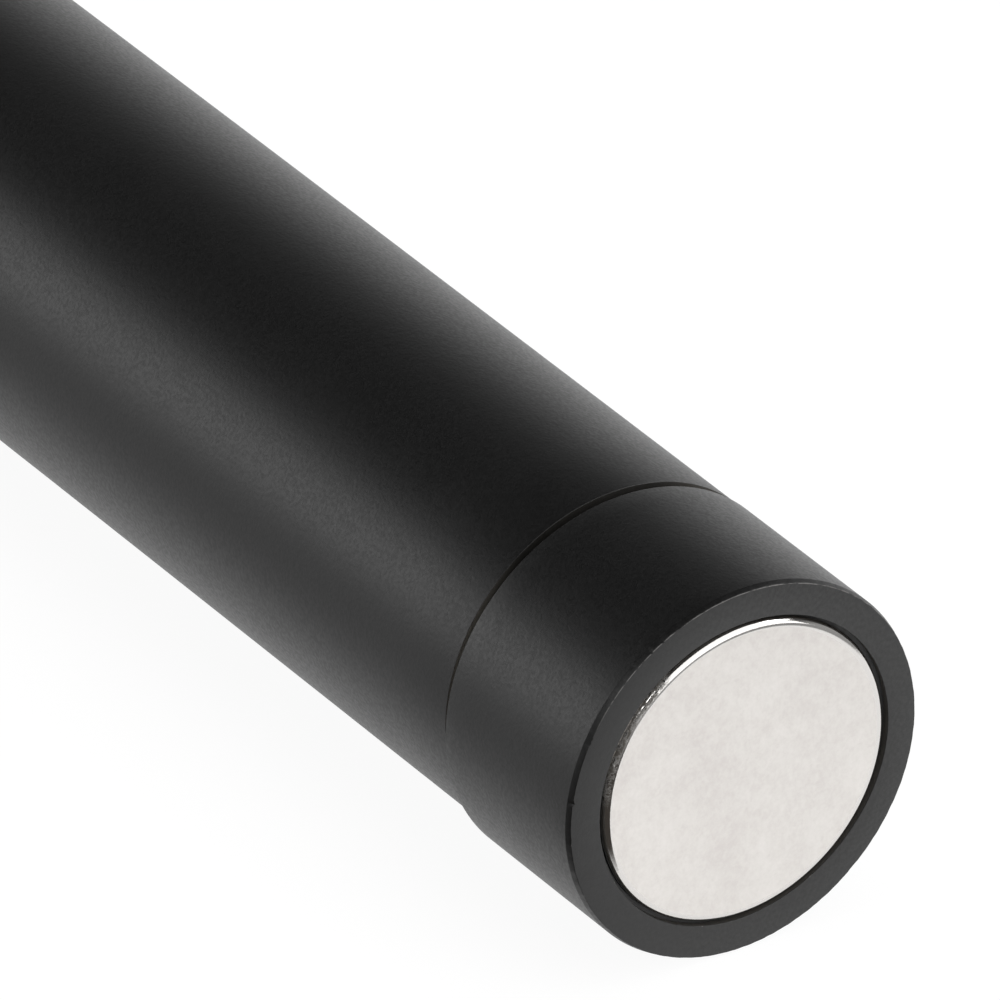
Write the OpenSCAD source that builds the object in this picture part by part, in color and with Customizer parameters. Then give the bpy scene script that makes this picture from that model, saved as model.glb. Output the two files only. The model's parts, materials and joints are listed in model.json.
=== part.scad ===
// Counterfeit detector pen: an iodine marker under a pull-off cap, an ultraviolet lamp in that cap
// and a disc magnet in a screw-on tail cap.
//
// Every piece is drawn upright, its axis along z, with z counted forward from the magnet's outer face.
// The whole pen is then laid down along x, tail towards +x, and rolled until its clip rests on the table.

/* [Barrel] */
// Outside diameter of the barrel and of the cap
body_d = 12.1; // [11.9:0.1:13.4]
// Length of barrel between the tail cap and the grip section
barrel_len = 72; // [60:1:90]
// Diameter of the screw threads at both ends of the barrel
thread_d = 10.4; // [10.2:0.05:10.8]
// Radial clearance of a screw thread
thread_clear = 0.04; // [0.02:0.01:0.08]
// Gap at the seams on both sides of the barrel
seam_gap = 0.3; // [0.15:0.05:0.5]
// Broken edge at those seams and at the joints of the cap
seam_break = 0.04; // [0.02:0.02:0.1]
// Broken edge of the pieces inside and of the bores
edge_break = 0.1; // [0.05:0.05:0.2]

/* [Tail cap] */
// How far the tail cap stands out from the barrel all round
tail_step = 0.15; // [0:0.05:0.4]
// Length of the tail cap that shows
collar_len = 6.57; // [5.5:0.01:9]
// Bevel round the end ring, across the pen
end_break = 0.06; // [0.02:0.02:0.2]
// Bevel round the end ring, along the pen
end_break_len = 0.2; // [0.05:0.05:0.4]
// Diameter of the shoulder that meets the barrel's end
stop_d = 11.7; // [11:0.1:11.9]
// Gap between that shoulder and the barrel's end
stop_gap = 0.05; // [0.02:0.01:0.08]
// Length of the threaded spigot
spigot_len = 6.5; // [5.5:0.1:8]
// Bore in the spigot that seats the spring
spring_cup_d = 6.8; // [6.6:0.1:7.4]
// Depth of that bore
spring_cup_depth = 4; // [2.5:0.1:5.5]
// Distance from the seam shoulder to the groove of the tail seal
seal_inset = 0.8; // [0.6:0.1:1.2]
// Pitch of the tail cap's thread
thread_pitch = 0.75; // [0.5:0.05:1]

/* [Magnet] */
// Diameter of the disc magnet
magnet_d = 10; // [8:0.1:10.4]
// Thickness of the magnet
magnet_t = 3; // [2:0.1:4]
// Rounded edge of the magnet
magnet_edge_r = 0.27; // [0.05:0.01:0.5]
// Radial gap round the magnet in its pocket
magnet_gap = 0.1; // [0.05:0.025:0.3]
// How far the magnet stands out of the end ring
magnet_proud = 0.06; // [0:0.02:0.3]

/* [Seals] */
// Section of the rubber rings on the tail cap and on the grip
ring_section = 0.9; // [0.7:0.05:1]
// Clearance of a rubber ring in its groove and in the bore round it
ring_clear = 0.03; // [0.02:0.01:0.05]
// Spare width of a ring groove, on each side
groove_spare = 0.12; // [0.05:0.01:0.2]

/* [Ink] */
// Outside diameter of the wrapped ink reservoir
reservoir_d = 9.2; // [8.6:0.1:9.6]
// Radial gap between the reservoir and the barrel
reservoir_clear = 0.2; // [0.1:0.05:0.3]
// Thickness of the film round the reservoir
film_t = 0.15; // [0.1:0.05:0.3]
// Distance from the spigot's end to the reservoir plug
spring_reach = 4.6; // [4:0.1:7]
// Thickness of the reservoir plug
plug_t = 2; // [1.5:0.1:3]
// Length of the plug's boss inside the spring
plug_boss_len = 1.6; // [1:0.1:2.5]
// Mean diameter of the reservoir spring
spring_d = 5.6; // [5.2:0.1:5.8]
// Wire of the reservoir spring
spring_wire = 0.6; // [0.4:0.05:0.65]
// Curls of the reservoir spring
spring_curls = 6; // [4:1:7]

/* [Grip and nib] */
// Length of the grip's collar, between the barrel and the cap
grip_collar_len = 1.2; // [0.8:0.1:2]
// Length of the grip in front of its collar
grip_len = 16; // [14:0.5:22]
// Length of the grip's threaded spigot in the barrel
grip_spigot_len = 8; // [6:0.5:12]
// Bore of the grip
grip_bore = 7; // [6.2:0.1:7.6]
// Distance from the grip's collar to the groove of its rubber ring
grip_ring_inset = 2; // [1.5:0.1:3]
// Shallow grooves round the grip
grip_grooves = 6; // [0:1:7]
// Width of one shallow groove, and of the land beside it
groove_w = 0.8; // [0.5:0.05:0.9]
// Depth of a shallow groove
groove_depth = 0.2; // [0.1:0.05:0.3]
// Bevel round the front of the grip
grip_bevel = 0.4; // [0.2:0.1:0.6]
// Length of the nib holder's stem in the grip
holder_stem_len = 12; // [8:0.5:15]
// Thickness of the nib holder's flange
holder_flange_t = 1.2; // [0.8:0.1:2]
// Diameter of the nose that the inner cap closes on
nose_d = 7.2; // [6.6:0.1:7.8]
// Length of that nose
nose_len = 2.4; // [1.5:0.1:4]
// Length of the cone in front of the nose
cone_len = 3; // [2:0.1:5]
// Diameter of the cone's tip
cone_tip_d = 4.6; // [4:0.1:5.6]
// Diameter of the fibre nib
nib_d = 3; // [2:0.1:3.6]
// Length of nib in front of its holder
nib_out = 4; // [3.2:0.1:6]
// Length of nib inside the reservoir
nib_sink = 6; // [4:0.5:12]

/* [Cap] */
// Wall of the cap
cap_wall = 0.95; // [0.85:0.05:1.05]
// Radial gap between the grip and the cap
cap_clear = 0.15; // [0.1:0.05:0.25]
// Radial clearance of pieces pushed into the cap, the bezel or the grip
slip_clear = 0.02; // [0.01:0.01:0.05]
// Radial gap between the nose and the inner cap
nose_clear = 0.1; // [0.05:0.05:0.2]
// Distance from the nib holder's flange to the mouth of the inner cap
inner_inset = 0.3; // [0.2:0.1:0.8]
// Bevel inside the mouth of the inner cap
inner_bevel = 0.6; // [0.3:0.1:1]
// Thickness of the inner cap's closed end
inner_floor_t = 1.5; // [1:0.1:2.5]
// Free space in front of the nib
nib_room = 5; // [4.6:0.1:8]

/* [Pocket clip] */
// Thickness of the clip's steel
clip_t = 0.6; // [0.4:0.05:0.8]
// Width of the clip at its root
clip_w = 4.2; // [3.4:0.1:5]
// Width of the clip at its round tip
clip_tip_w = 3.2; // [2.4:0.1:4]
// Length of the clip's arm
clip_len = 37; // [28:1:44]
// Height of the arm's middle above the cap, at its root
clip_rise = 2.2; // [1.8:0.1:3]
// Bend from the clip's ring to its arm
clip_bend_r = 1.1; // [0.8:0.1:1.3]
// Curl at the arm's tip
clip_tip_r = 3; // [2:0.1:4]
// Angle through which the tip turns up
clip_tip_angle = 40; // [30:1:60]
// Gap between the tip and the cap
clip_tip_gap = 0.1; // [0.05:0.05:0.3]

/* [Lamp] */
// Diameter of a button cell
cell_d = 7.9; // [6.8:0.1:7.9]
// Thickness of a button cell
cell_t = 3.6; // [2.1:0.1:3.6]
// Height of a cell's negative cap
cell_step = 0.4; // [0.2:0.05:0.6]
// Diameter of a cell's negative cap
cell_cap_d = 6.4; // [5.4:0.1:6.6]
// Radial gap between the cells and the carrier
cell_clear = 0.1; // [0.05:0.05:0.2]
// Room for the spring behind the cells
cell_spring_room = 3.4; // [3:0.1:5]
// Mean diameter of the cell spring
cell_spring_d = 5; // [4:0.1:5.8]
// Wire of the cell spring
cell_spring_wire = 0.4; // [0.3:0.05:0.5]
// Curls of the cell spring
cell_spring_curls = 2.5; // [2:0.5:2.5]
// Clear end gap of both springs
spring_end_gap = 0.1; // [0.05:0.05:0.2]
// Width of the contact strip
strip_w = 2; // [1.5:0.1:2.6]
// Thickness of the contact strip
strip_t = 0.2; // [0.15:0.05:0.3]
// Clearance round the contact strip in its slot
strip_clear = 0.1; // [0.05:0.05:0.2]
// Depth of the strip's slot in the carrier
strip_slot_depth = 0.6; // [0.5:0.05:0.7]
// Reach of the contact strip over the board
strip_hook = 1; // [0.6:0.1:1.4]
// Diameter of the contact pad on the board
pad_d = 3; // [2:0.1:4]
// Height of the contact pad
pad_h = 0.4; // [0.2:0.1:0.8]
// Thickness of the lamp board
board_t = 1; // [0.6:0.1:1.6]
// Wall of the carrier round the lamp chamber
chamber_wall = 0.58; // [0.5:0.02:0.7]
// Diameter of the lamp's body
led_d = 5; // [4.8:0.1:5.2]
// Length of the lamp in front of its flange
led_len = 7.6; // [6.5:0.1:7.8]
// Diameter of the lamp's flange
led_flange_d = 5.8; // [5.6:0.1:6]
// Thickness of the lamp's flange
led_flange_t = 1; // [0.8:0.1:1.2]
// Thickness of a lamp lead
lead_d = 0.5; // [0.4:0.05:0.6]
// Distance between the leads
lead_pitch = 2.54; // [2:0.02:2.6]
// Length of the reflector
reflector_len = 8.5; // [8.2:0.1:10]
// Thickness of the reflector's flange
reflector_flange_t = 1; // [0.8:0.1:1.5]
// Radial gap between the lamp and the reflector
led_clear = 0.1; // [0.05:0.05:0.2]
// Wall of the bezel round the reflector
bezel_wall = 0.56; // [0.5:0.02:0.7]
// Length of the bezel's head
bezel_head_len = 3.4; // [3:0.1:5]
// Bevel round the front of the bezel
bezel_bevel = 0.5; // [0.3:0.1:0.9]
// Diameter of the lamp's window
window_d = 7.4; // [6.6:0.1:7.8]
// Lip that holds the lens
lip_t = 0.8; // [0.6:0.1:1.2]
// Thickness of the lens
lens_t = 1.2; // [0.8:0.1:1.6]
// Thickness of the lens gasket
gasket_t = 0.5; // [0.3:0.1:0.8]

/* [Lamp button] */
// Length of the button along the pen
button_len = 5.6; // [5:0.1:7]
// Width of the button
button_w = 3; // [2.6:0.1:3.2]
// Height of the button above the cap
button_rise = 0.5; // [0.3:0.1:0.8]
// Travel of the button
button_travel = 0.5; // [0.3:0.05:0.6]
// Gap round the button in the cap
button_clear = 0.08; // [0.05:0.01:0.15]
// Length of each retaining tab
tab_len = 0.5; // [0.3:0.1:0.8]
// Thickness of the retaining tabs
tab_t = 0.5; // [0.3:0.05:0.6]
// Gap from the tabs to the board and to the reflector
tab_gap = 0.2; // [0.1:0.05:0.4]
// Thickness of the switch's plunger
plunger_d = 1.2; // [1:0.1:1.4]
// Length of plunger that shows
plunger_out = 0.7; // [0.65:0.05:0.9]
// Length of plunger inside the switch
plunger_in = 0.5; // [0.3:0.1:0.7]
// Width of the switch
switch_w = 3.5; // [3:0.1:4]
// Height of the switch above the board
switch_h = 2.4; // [2:0.1:2.8]
// Depth of the switch towards the pen's axis
switch_depth = 2; // [1.8:0.1:2.2]

/* [Hidden] */
$fn = 96;

// Overshoot of a cut past the face that it opens
cut = 1;
// Sides of a spring's wire, and its rings in one curl
wire_sides = 6;
curl_rings = 8;
// Step of a rounded edge in degrees
arc_step = 15;
// Points along the reflector's bowl
bowl_steps = 8;

// Radii
body_r = body_d / 2;
tail_r = body_r + tail_step;
thread_r = thread_d / 2;
thread_bore_r = thread_r + thread_clear;
pocket_r = magnet_d / 2 + magnet_gap;
barrel_bore_r = reservoir_d / 2 + reservoir_clear;
cap_bore_r = body_r - cap_wall;
grip_r = cap_bore_r - cap_clear;
inner_bore_r = nose_d / 2 + nose_clear;
insert_r = cap_bore_r - slip_clear;
cell_bore_r = cell_d / 2 + cell_clear;
chamber_r = insert_r - chamber_wall;
bezel_spigot_r = cap_bore_r - thread_clear;
bezel_bore_r = bezel_spigot_r - bezel_wall;
lens_r = bezel_bore_r - slip_clear;
tail_ring_r = thread_bore_r - ring_clear - ring_section / 2;
grip_ring_r = cap_bore_r - ring_clear - ring_section / 2;

// Stations along the axis, from the tail to the front
z_ring = magnet_proud;
z_collar = z_ring + collar_len;
z_spigot = z_collar + spigot_len;
z_cup = z_spigot - spring_cup_depth;
groove_len = ring_section + 2 * groove_spare;
z_seal = z_collar + seal_inset;
z_barrel = z_collar + seam_gap;
z_stop = z_barrel - stop_gap;
z_barrel_front = z_barrel + barrel_len;
z_plug = z_spigot + spring_reach;
z_core = z_plug + plug_t;
z_grip_back = z_barrel_front - grip_spigot_len;
z_grip = z_barrel_front + grip_collar_len;
z_grip_front = z_grip + grip_len;
z_grip_ring = z_grip + grip_ring_inset;
z_nose = z_grip_front + holder_flange_t;
z_cone = z_nose + nose_len;
z_holder_tip = z_cone + cone_len;
z_nib_tip = z_holder_tip + nib_out;
z_nib_tail = z_grip_back - nib_sink;
z_cap_mouth = z_grip + seam_gap;
z_inner_mouth = z_nose + inner_inset;
z_inner_floor = z_nib_tip + nib_room;
z_inner_end = z_inner_floor + inner_floor_t;
z_cells = z_inner_end + cell_spring_room;
z_cells_end = z_cells + 3 * cell_t;
z_board = z_cells_end + pad_h;
z_board_front = z_board + board_t;
tab_span = button_len + 2 * tab_len;
z_reflector = z_board_front + tab_span + 2 * tab_gap;
z_led = z_reflector - led_flange_t;
z_gasket = z_reflector + reflector_len;
z_lens = z_gasket + gasket_t;
z_lip = z_lens + lens_t;
z_front = z_lip + lip_t;
z_head = z_front - bezel_head_len;
z_shell_front = z_head - clip_t;
z_bezel_back = z_reflector + reflector_flange_t;

// Lamp button: distances from the axis, on the side away from the clip
z_button = z_reflector - tab_gap - tab_span / 2;
tab_top = sqrt(pow(cap_bore_r, 2) - pow(button_w / 2, 2)) - button_clear;
tab_bottom = tab_top - tab_t;
button_top = body_r + button_rise;
z_switch = z_board_front + switch_h / 2;
switch_top = tab_bottom - plunger_out;
switch_bottom = switch_top - switch_depth;
plunger_bottom = switch_top - plunger_in;

// Contact strip: distances from the axis, on the side of the clip
strip_in = insert_r - strip_slot_depth;
strip_out = strip_in + strip_t;

// Clip
clip_arm_r = body_r + clip_rise;
clip_tip_low = body_r + clip_tip_gap + clip_t / 2;
clip_bend_end = clip_t / 2 + clip_bend_r;
clip_run = clip_len - clip_bend_end - clip_tip_r * sin(clip_tip_angle);
clip_slope = atan((clip_arm_r - clip_tip_low) / clip_run);
clip_outer_r = clip_arm_r + clip_t / 2;

// Roll that brings the clip's outer edge down to the table under the tail cap
clip_edge_r = norm([clip_outer_r, clip_w / 2]);
clip_from_down = acos(tail_r / clip_edge_r) + atan(clip_w / 2 / clip_outer_r);
roll = 180 - clip_from_down;

// Centre line of a spring, from z0 to z1 over its ends
function coil_line(mean_d, wire_d, z0, z1, curls) = [
    for (i = [0 : curl_rings * curls])
        let (share = i / (curl_rings * curls), turn = 360 * curls * share)
        [
            mean_d / 2 * cos(turn),
            mean_d / 2 * sin(turn),
            z0 + wire_d / 2 + (z1 - z0 - wire_d) * share
        ]
];

// Least gap of a coiled wire to itself, between points at least half a curl apart
function coil_gap(line, wire_d) = min([
    for (i = [0 : len(line) - 1])
        for (j = [i + curl_rings / 2 : 1 : len(line) - 1])
            norm(line[j] - line[i]) - wire_d
]);

// One ring of points round the wire at a point of its centre line
function wire_ring(point, wire_d) =
    let (turn = atan2(point[1], point[0]))
    [
        for (k = [0 : wire_sides - 1])
            let (side = 360 * k / wire_sides)
            point + wire_d / 2 * [cos(side) * cos(turn), cos(side) * sin(turn), sin(side)]
    ];

// Points of an arc about a centre
function arc(centre, r, from, to) = [
    for (i = [0 : ceil(abs(to - from) / arc_step)])
        let (angle = from + (to - from) * i / ceil(abs(to - from) / arc_step))
        centre + r * [cos(angle), sin(angle)]
];

// Outline of a strip of even thickness along a line of points
function ribbon(line, t) =
    let (
        last = len(line) - 1,
        side = [
            for (i = [0 : last])
                let (along = line[min(i + 1, last)] - line[max(i - 1, 0)])
                t / 2 * [-along[1], along[0]] / norm(along)
        ]
    )
    concat(
        [for (i = [0 : last]) line[i] + side[i]],
        [for (i = [last : -1 : 0]) line[i] - side[i]]
    );

// Lays a piece down along x and rolls it with the pen
module piece(colour) {
    color(colour)
        rotate([roll, 0, 0])
            rotate([0, -90, 0])
                children();
}

// Turned piece from its half section, as points of radius and station
module turned(section) {
    rotate_extrude()
        polygon(section);
}

module rod(r, z0, z1) {
    translate([0, 0, z0])
        cylinder(r = r, h = z1 - z0);
}

module pipe(r_out, r_in, z0, z1) {
    difference() {
        rod(r_out, z0, z1);
        rod(r_in, z0 - cut, z1 + cut);
    }
}

module rubber_ring(mean_r, z) {
    translate([0, 0, z])
        rotate_extrude()
            translate([mean_r, 0])
                circle(d = ring_section, $fn = 24);
}

module coil(mean_d, wire_d, z0, z1, curls) {
    line = coil_line(mean_d, wire_d, z0, z1, curls);
    last = len(line) - 1;
    echo(coil_gap = coil_gap(line, wire_d));
    polyhedron(
        points = [for (point = line) each wire_ring(point, wire_d)],
        faces = concat(
            [
                for (i = [0 : last - 1])
                    for (k = [0 : wire_sides - 1])
                        let (a = i * wire_sides + k, b = i * wire_sides + (k + 1) % wire_sides)
                        each [[a, b, a + wire_sides], [b, b + wire_sides, a + wire_sides]]
            ],
            [for (k = [1 : wire_sides - 2]) [0, k + 1, k]],
            [for (k = [1 : wire_sides - 2]) [0, k, k + 1] + last * wire_sides * [1, 1, 1]]
        )
    );
}

// Stadium with its length along the pen, on the side away from the clip, between two distances from the axis
module side_slot(length, width, from, to) {
    translate([-to, 0, z_button])
        rotate([0, 90, 0])
            linear_extrude(to - from)
                union() {
                    square([length - width, width], center = true);
                    for (end = [-1, 1])
                        translate([end * (length - width) / 2, 0])
                            circle(d = width);
                }
}

module tail_cap() {
    seal_floor_r = tail_ring_r - ring_section / 2 - ring_clear;
    piece("#202124")
        turned([
            [0, magnet_t],
            [pocket_r, magnet_t],
            [pocket_r, z_ring],
            [tail_r - end_break, z_ring],
            [tail_r, z_ring + end_break_len],
            [tail_r, z_collar - seam_break],
            [tail_r - seam_break, z_collar],
            [stop_d / 2, z_collar],
            [stop_d / 2, z_stop],
            [thread_r, z_stop],
            [thread_r, z_seal],
            [seal_floor_r, z_seal],
            [seal_floor_r, z_seal + groove_len],
            [thread_r, z_seal + groove_len],
            [thread_r, z_spigot - thread_pitch / 2],
            [thread_r - thread_pitch / 2, z_spigot],
            [spring_cup_d / 2, z_spigot],
            [spring_cup_d / 2, z_cup],
            [0, z_cup]
        ]);
}

module magnet() {
    edge_centre = magnet_d / 2 - magnet_edge_r;
    piece("#e0dcd8")
        turned(concat(
            [[0, 0]],
            arc([edge_centre, magnet_edge_r], magnet_edge_r, -90, 0),
            arc([edge_centre, magnet_t - magnet_edge_r], magnet_edge_r, 0, 90),
            [[0, magnet_t]]
        ));
}

module tail_o_ring() {
    piece("#18181a")
        rubber_ring(tail_ring_r, z_seal + groove_len / 2);
}

module tail_spring() {
    piece("#b9bcc0")
        coil(spring_d, spring_wire, z_cup + spring_end_gap, z_plug - spring_end_gap, spring_curls);
}

module barrel() {
    z_tail_thread = z_spigot + thread_pitch;
    piece("#1c1d1f")
        turned([
            [thread_bore_r, z_barrel],
            [body_r - seam_break, z_barrel],
            [body_r, z_barrel + seam_break],
            [body_r, z_barrel_front - seam_break],
            [body_r - seam_break, z_barrel_front],
            [thread_bore_r, z_barrel_front],
            [thread_bore_r, z_grip_back],
            [barrel_bore_r, z_grip_back],
            [barrel_bore_r, z_tail_thread],
            [thread_bore_r, z_tail_thread]
        ]);
}

module reservoir_plug() {
    boss_r = (spring_d - spring_wire) / 2 - reservoir_clear;
    piece("#e8e6e0")
        turned([
            [0, z_plug - plug_boss_len],
            [boss_r - edge_break, z_plug - plug_boss_len],
            [boss_r, z_plug - plug_boss_len + edge_break],
            [boss_r, z_plug],
            [barrel_bore_r - slip_clear, z_plug],
            [barrel_bore_r - slip_clear, z_core],
            [0, z_core]
        ]);
}

module reservoir_core() {
    piece("#d9c9a4")
        difference() {
            rod(reservoir_d / 2 - film_t - slip_clear, z_core, z_grip_back);
            rod(nib_d / 2 + slip_clear, z_nib_tail, z_grip_back + cut);
        }
}

module reservoir_film() {
    piece("#dfe6ea")
        pipe(reservoir_d / 2, reservoir_d / 2 - film_t, z_core, z_grip_back);
}

module grip_section() {
    ring_floor_r = grip_ring_r - ring_section / 2 - ring_clear;
    z_first_groove = z_grip_ring + groove_len + 2 * groove_w;
    piece("#222326")
        difference() {
            turned([
                [grip_bore / 2, z_grip_back],
                [thread_r - edge_break, z_grip_back],
                [thread_r, z_grip_back + edge_break],
                [thread_r, z_barrel_front],
                [body_r - seam_break, z_barrel_front],
                [body_r, z_barrel_front + seam_break],
                [body_r, z_grip - seam_break],
                [body_r - seam_break, z_grip],
                [grip_r, z_grip],
                [grip_r, z_grip_ring],
                [ring_floor_r, z_grip_ring],
                [ring_floor_r, z_grip_ring + groove_len],
                [grip_r, z_grip_ring + groove_len],
                [grip_r, z_grip_front - grip_bevel],
                [grip_r - grip_bevel, z_grip_front],
                [grip_bore / 2, z_grip_front]
            ]);
            for (i = [0 : 1 : grip_grooves - 1])
                translate([0, 0, z_first_groove + 2 * groove_w * i])
                    pipe(grip_r + cut, grip_r - groove_depth, 0, groove_w);
        }
}

module grip_o_ring() {
    piece("#18181a")
        rubber_ring(grip_ring_r, z_grip_ring + groove_len / 2);
}

module nib_holder() {
    flange_r = grip_r - grip_bevel;
    piece("#2a2b2d")
        turned([
            [nib_d / 2 + slip_clear, z_grip_front - holder_stem_len],
            [grip_bore / 2 - slip_clear, z_grip_front - holder_stem_len],
            [grip_bore / 2 - slip_clear, z_grip_front],
            [flange_r, z_grip_front],
            [flange_r, z_nose - edge_break],
            [flange_r - edge_break, z_nose],
            [nose_d / 2, z_nose],
            [nose_d / 2, z_cone],
            [cone_tip_d / 2, z_holder_tip],
            [nib_d / 2 + slip_clear, z_holder_tip]
        ]);
}

module nib() {
    tip_r = nib_d / 2;
    piece("#c9a15a")
        turned(concat(
            [[0, z_nib_tail], [tip_r, z_nib_tail]],
            [
                for (angle = [0 : arc_step : 90])
                    [tip_r * cos(angle), z_nib_tip - nib_d * (1 - sin(angle))]
            ]
        ));
}

module cap_shell() {
    piece("#1c1d1f")
        difference() {
            turned([
                [cap_bore_r + edge_break, z_cap_mouth],
                [body_r - seam_break, z_cap_mouth],
                [body_r, z_cap_mouth + seam_break],
                [body_r, z_shell_front - seam_break],
                [body_r - seam_break, z_shell_front],
                [cap_bore_r, z_shell_front],
                [cap_bore_r, z_cap_mouth + edge_break]
            ]);
            side_slot(button_len + 2 * button_clear, button_w + 2 * button_clear, 0, body_r + cut);
        }
}

module inner_cap() {
    piece("#c8c9c6")
        turned([
            [inner_bore_r + inner_bevel, z_inner_mouth],
            [insert_r, z_inner_mouth],
            [insert_r, z_inner_end],
            [0, z_inner_end],
            [0, z_inner_floor],
            [inner_bore_r, z_inner_floor],
            [inner_bore_r, z_inner_mouth + inner_bevel]
        ]);
}

// Outline of the clip's arm from above: even at its root, then narrower towards its round tip
module clip_plan() {
    hull() {
        translate([0, -clip_w / 2])
            square([2 * clip_bend_end, clip_w]);
        translate([clip_len - clip_tip_w / 2, 0])
            circle(d = clip_tip_w);
    }
}

// Stamped clip: a ring held under the bezel, and an arm that bends back along the cap
module pocket_clip() {
    ring_bore_r = bezel_spigot_r + thread_clear;
    tip_turn = clip_slope + clip_tip_angle;
    run_end = [clip_bend_end + clip_run, clip_tip_low];
    tip_centre = run_end + clip_tip_r * [sin(clip_slope), cos(clip_slope)];
    line = concat(
        [[clip_t / 2, body_r - cap_wall / 2]],
        arc([clip_bend_end, clip_arm_r - clip_bend_r], clip_bend_r, 180, 90 - clip_slope),
        arc(tip_centre, clip_tip_r, -90 - clip_slope, -90 - clip_slope + tip_turn)
    );
    piece("#2b2c2f") {
        turned([
            [ring_bore_r, z_shell_front],
            [body_r - seam_break, z_shell_front],
            [body_r, z_shell_front + seam_break],
            [body_r, z_head - seam_break],
            [body_r - seam_break, z_head],
            [ring_bore_r, z_head]
        ]);
        intersection() {
            translate([0, clip_w / 2, z_head])
                rotate([90, 90, 0])
                    linear_extrude(clip_w)
                        polygon(ribbon(line, clip_t));
            translate([0, 0, z_head])
                rotate([0, 90, 0])
                    linear_extrude(clip_outer_r + cut)
                        clip_plan();
        }
    }
}

// Sleeve for the cells and the board, notched for the button and slotted for the contact strip
module lamp_carrier() {
    window_w = button_w + 4 * button_clear;
    piece("#34363a")
        difference() {
            rod(insert_r, z_inner_end, z_reflector);
            rod(cell_bore_r, z_inner_end - cut, z_board + cut);
            rod(chamber_r, z_board, z_reflector + cut);
            side_slot(tab_span + 2 * button_clear, window_w, 0, insert_r + cut);
            translate([-insert_r - cut, -window_w / 2, z_button])
                cube([insert_r + cut, window_w, z_reflector - z_button + cut]);
            strip_path(strip_clear);
        }
}

// Path of the contact strip: behind the cells, along the carrier and over the edge of the board
module strip_path(grow) {
    width = strip_w + 2 * grow;
    reach = strip_out + (grow > 0 ? cut : 0);
    translate([0, -width / 2, z_inner_end - grow])
        cube([reach, width, strip_t + 2 * grow]);
    translate([strip_in, -width / 2, z_inner_end])
        cube([reach - strip_in, width, z_board_front - z_inner_end]);
    translate([chamber_r - strip_hook, -width / 2, z_board_front])
        cube([reach - chamber_r + strip_hook, width, strip_t + grow]);
}

module contact_strip() {
    piece("#c9a04a") {
        rod(cell_spring_d / 2 + cell_spring_wire, z_inner_end, z_inner_end + strip_t);
        strip_path(0);
    }
}

module cell_spring() {
    piece("#c4c6c8")
        coil(
            cell_spring_d,
            cell_spring_wire,
            z_inner_end + strip_t + spring_end_gap,
            z_cells - spring_end_gap,
            cell_spring_curls
        );
}

// Button cell with its negative cap towards the tail
module cell(index) {
    z0 = z_cells + index * cell_t;
    piece("#cfd0d2")
        turned([
            [0, z0],
            [cell_cap_d / 2, z0],
            [cell_cap_d / 2, z0 + cell_step],
            [cell_d / 2 - edge_break, z0 + cell_step],
            [cell_d / 2, z0 + cell_step + edge_break],
            [cell_d / 2, z0 + cell_t - edge_break],
            [cell_d / 2 - edge_break, z0 + cell_t],
            [0, z0 + cell_t]
        ]);
}

module cell_rear() {
    cell(0);
}

module cell_middle() {
    cell(1);
}

module cell_front() {
    cell(2);
}

module lead_pair(r, z0, z1) {
    for (side = [-1, 1])
        translate([0, side * lead_pitch / 2, 0])
            rod(r, z0, z1);
}

module led_board() {
    piece("#2f6b45")
        difference() {
            turned([
                [0, z_cells_end],
                [pad_d / 2, z_cells_end],
                [pad_d / 2, z_board],
                [chamber_r - slip_clear, z_board],
                [chamber_r - slip_clear, z_board_front],
                [0, z_board_front]
            ]);
            lead_pair(lead_d / 2 + slip_clear, z_cells_end + pad_h / 2, z_board_front + cut);
        }
}

module uv_led() {
    z_dome = z_reflector + led_len - led_d / 2;
    piece("#b9b4dc") {
        turned(concat(
            [
                [0, z_led],
                [led_flange_d / 2, z_led],
                [led_flange_d / 2, z_reflector],
                [led_d / 2, z_reflector]
            ],
            arc([0, z_dome], led_d / 2, 0, 90)
        ));
        lead_pair(lead_d / 2, z_board, z_led + led_flange_t / 2);
    }
}

module side_pin(r, from, to) {
    translate([-to, 0, z_switch])
        rotate([0, 90, 0])
            cylinder(r = r, h = to - from);
}

module button_switch() {
    piece("#3a3a3c")
        difference() {
            translate([-switch_top, -switch_w / 2, z_board_front])
                cube([switch_depth, switch_w, switch_h]);
            side_pin(
                plunger_d / 2 + slip_clear,
                plunger_bottom - button_travel - button_clear,
                switch_top + cut
            );
        }
}

module switch_plunger() {
    piece("#d8d2c4")
        side_pin(plunger_d / 2, plunger_bottom, tab_bottom);
}

// Button with a top that follows the cap, and two tabs that hold it under the cap's wall
module lamp_button() {
    piece("#3b3c40") {
        intersection() {
            side_slot(button_len, button_w, tab_bottom, button_top + cut);
            rod(button_top, z_button - button_len, z_button + button_len);
        }
        side_slot(tab_span, button_w, tab_bottom, tab_top);
    }
}

module reflector() {
    throat_r = led_d / 2 + led_clear;
    mouth_r = window_d / 2;
    z_throat = z_reflector + reflector_flange_t;
    piece("#d9dbde")
        turned(concat(
            [
                [throat_r, z_reflector],
                [insert_r, z_reflector],
                [insert_r, z_bezel_back],
                [lens_r, z_bezel_back],
                [lens_r, z_gasket]
            ],
            [
                for (i = [bowl_steps : -1 : 0])
                    [
                        throat_r + (mouth_r - throat_r) * sqrt(i / bowl_steps),
                        z_throat + (z_gasket - z_throat) * i / bowl_steps
                    ]
            ]
        ));
}

module lens_gasket() {
    piece("#1a1a1c")
        pipe(lens_r, window_d / 2, z_gasket, z_lens);
}

module lamp_lens() {
    piece("#cfd6ee")
        turned([
            [0, z_lens],
            [lens_r - edge_break, z_lens],
            [lens_r, z_lens + edge_break],
            [lens_r, z_lip - edge_break],
            [lens_r - edge_break, z_lip],
            [0, z_lip]
        ]);
}

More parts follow.
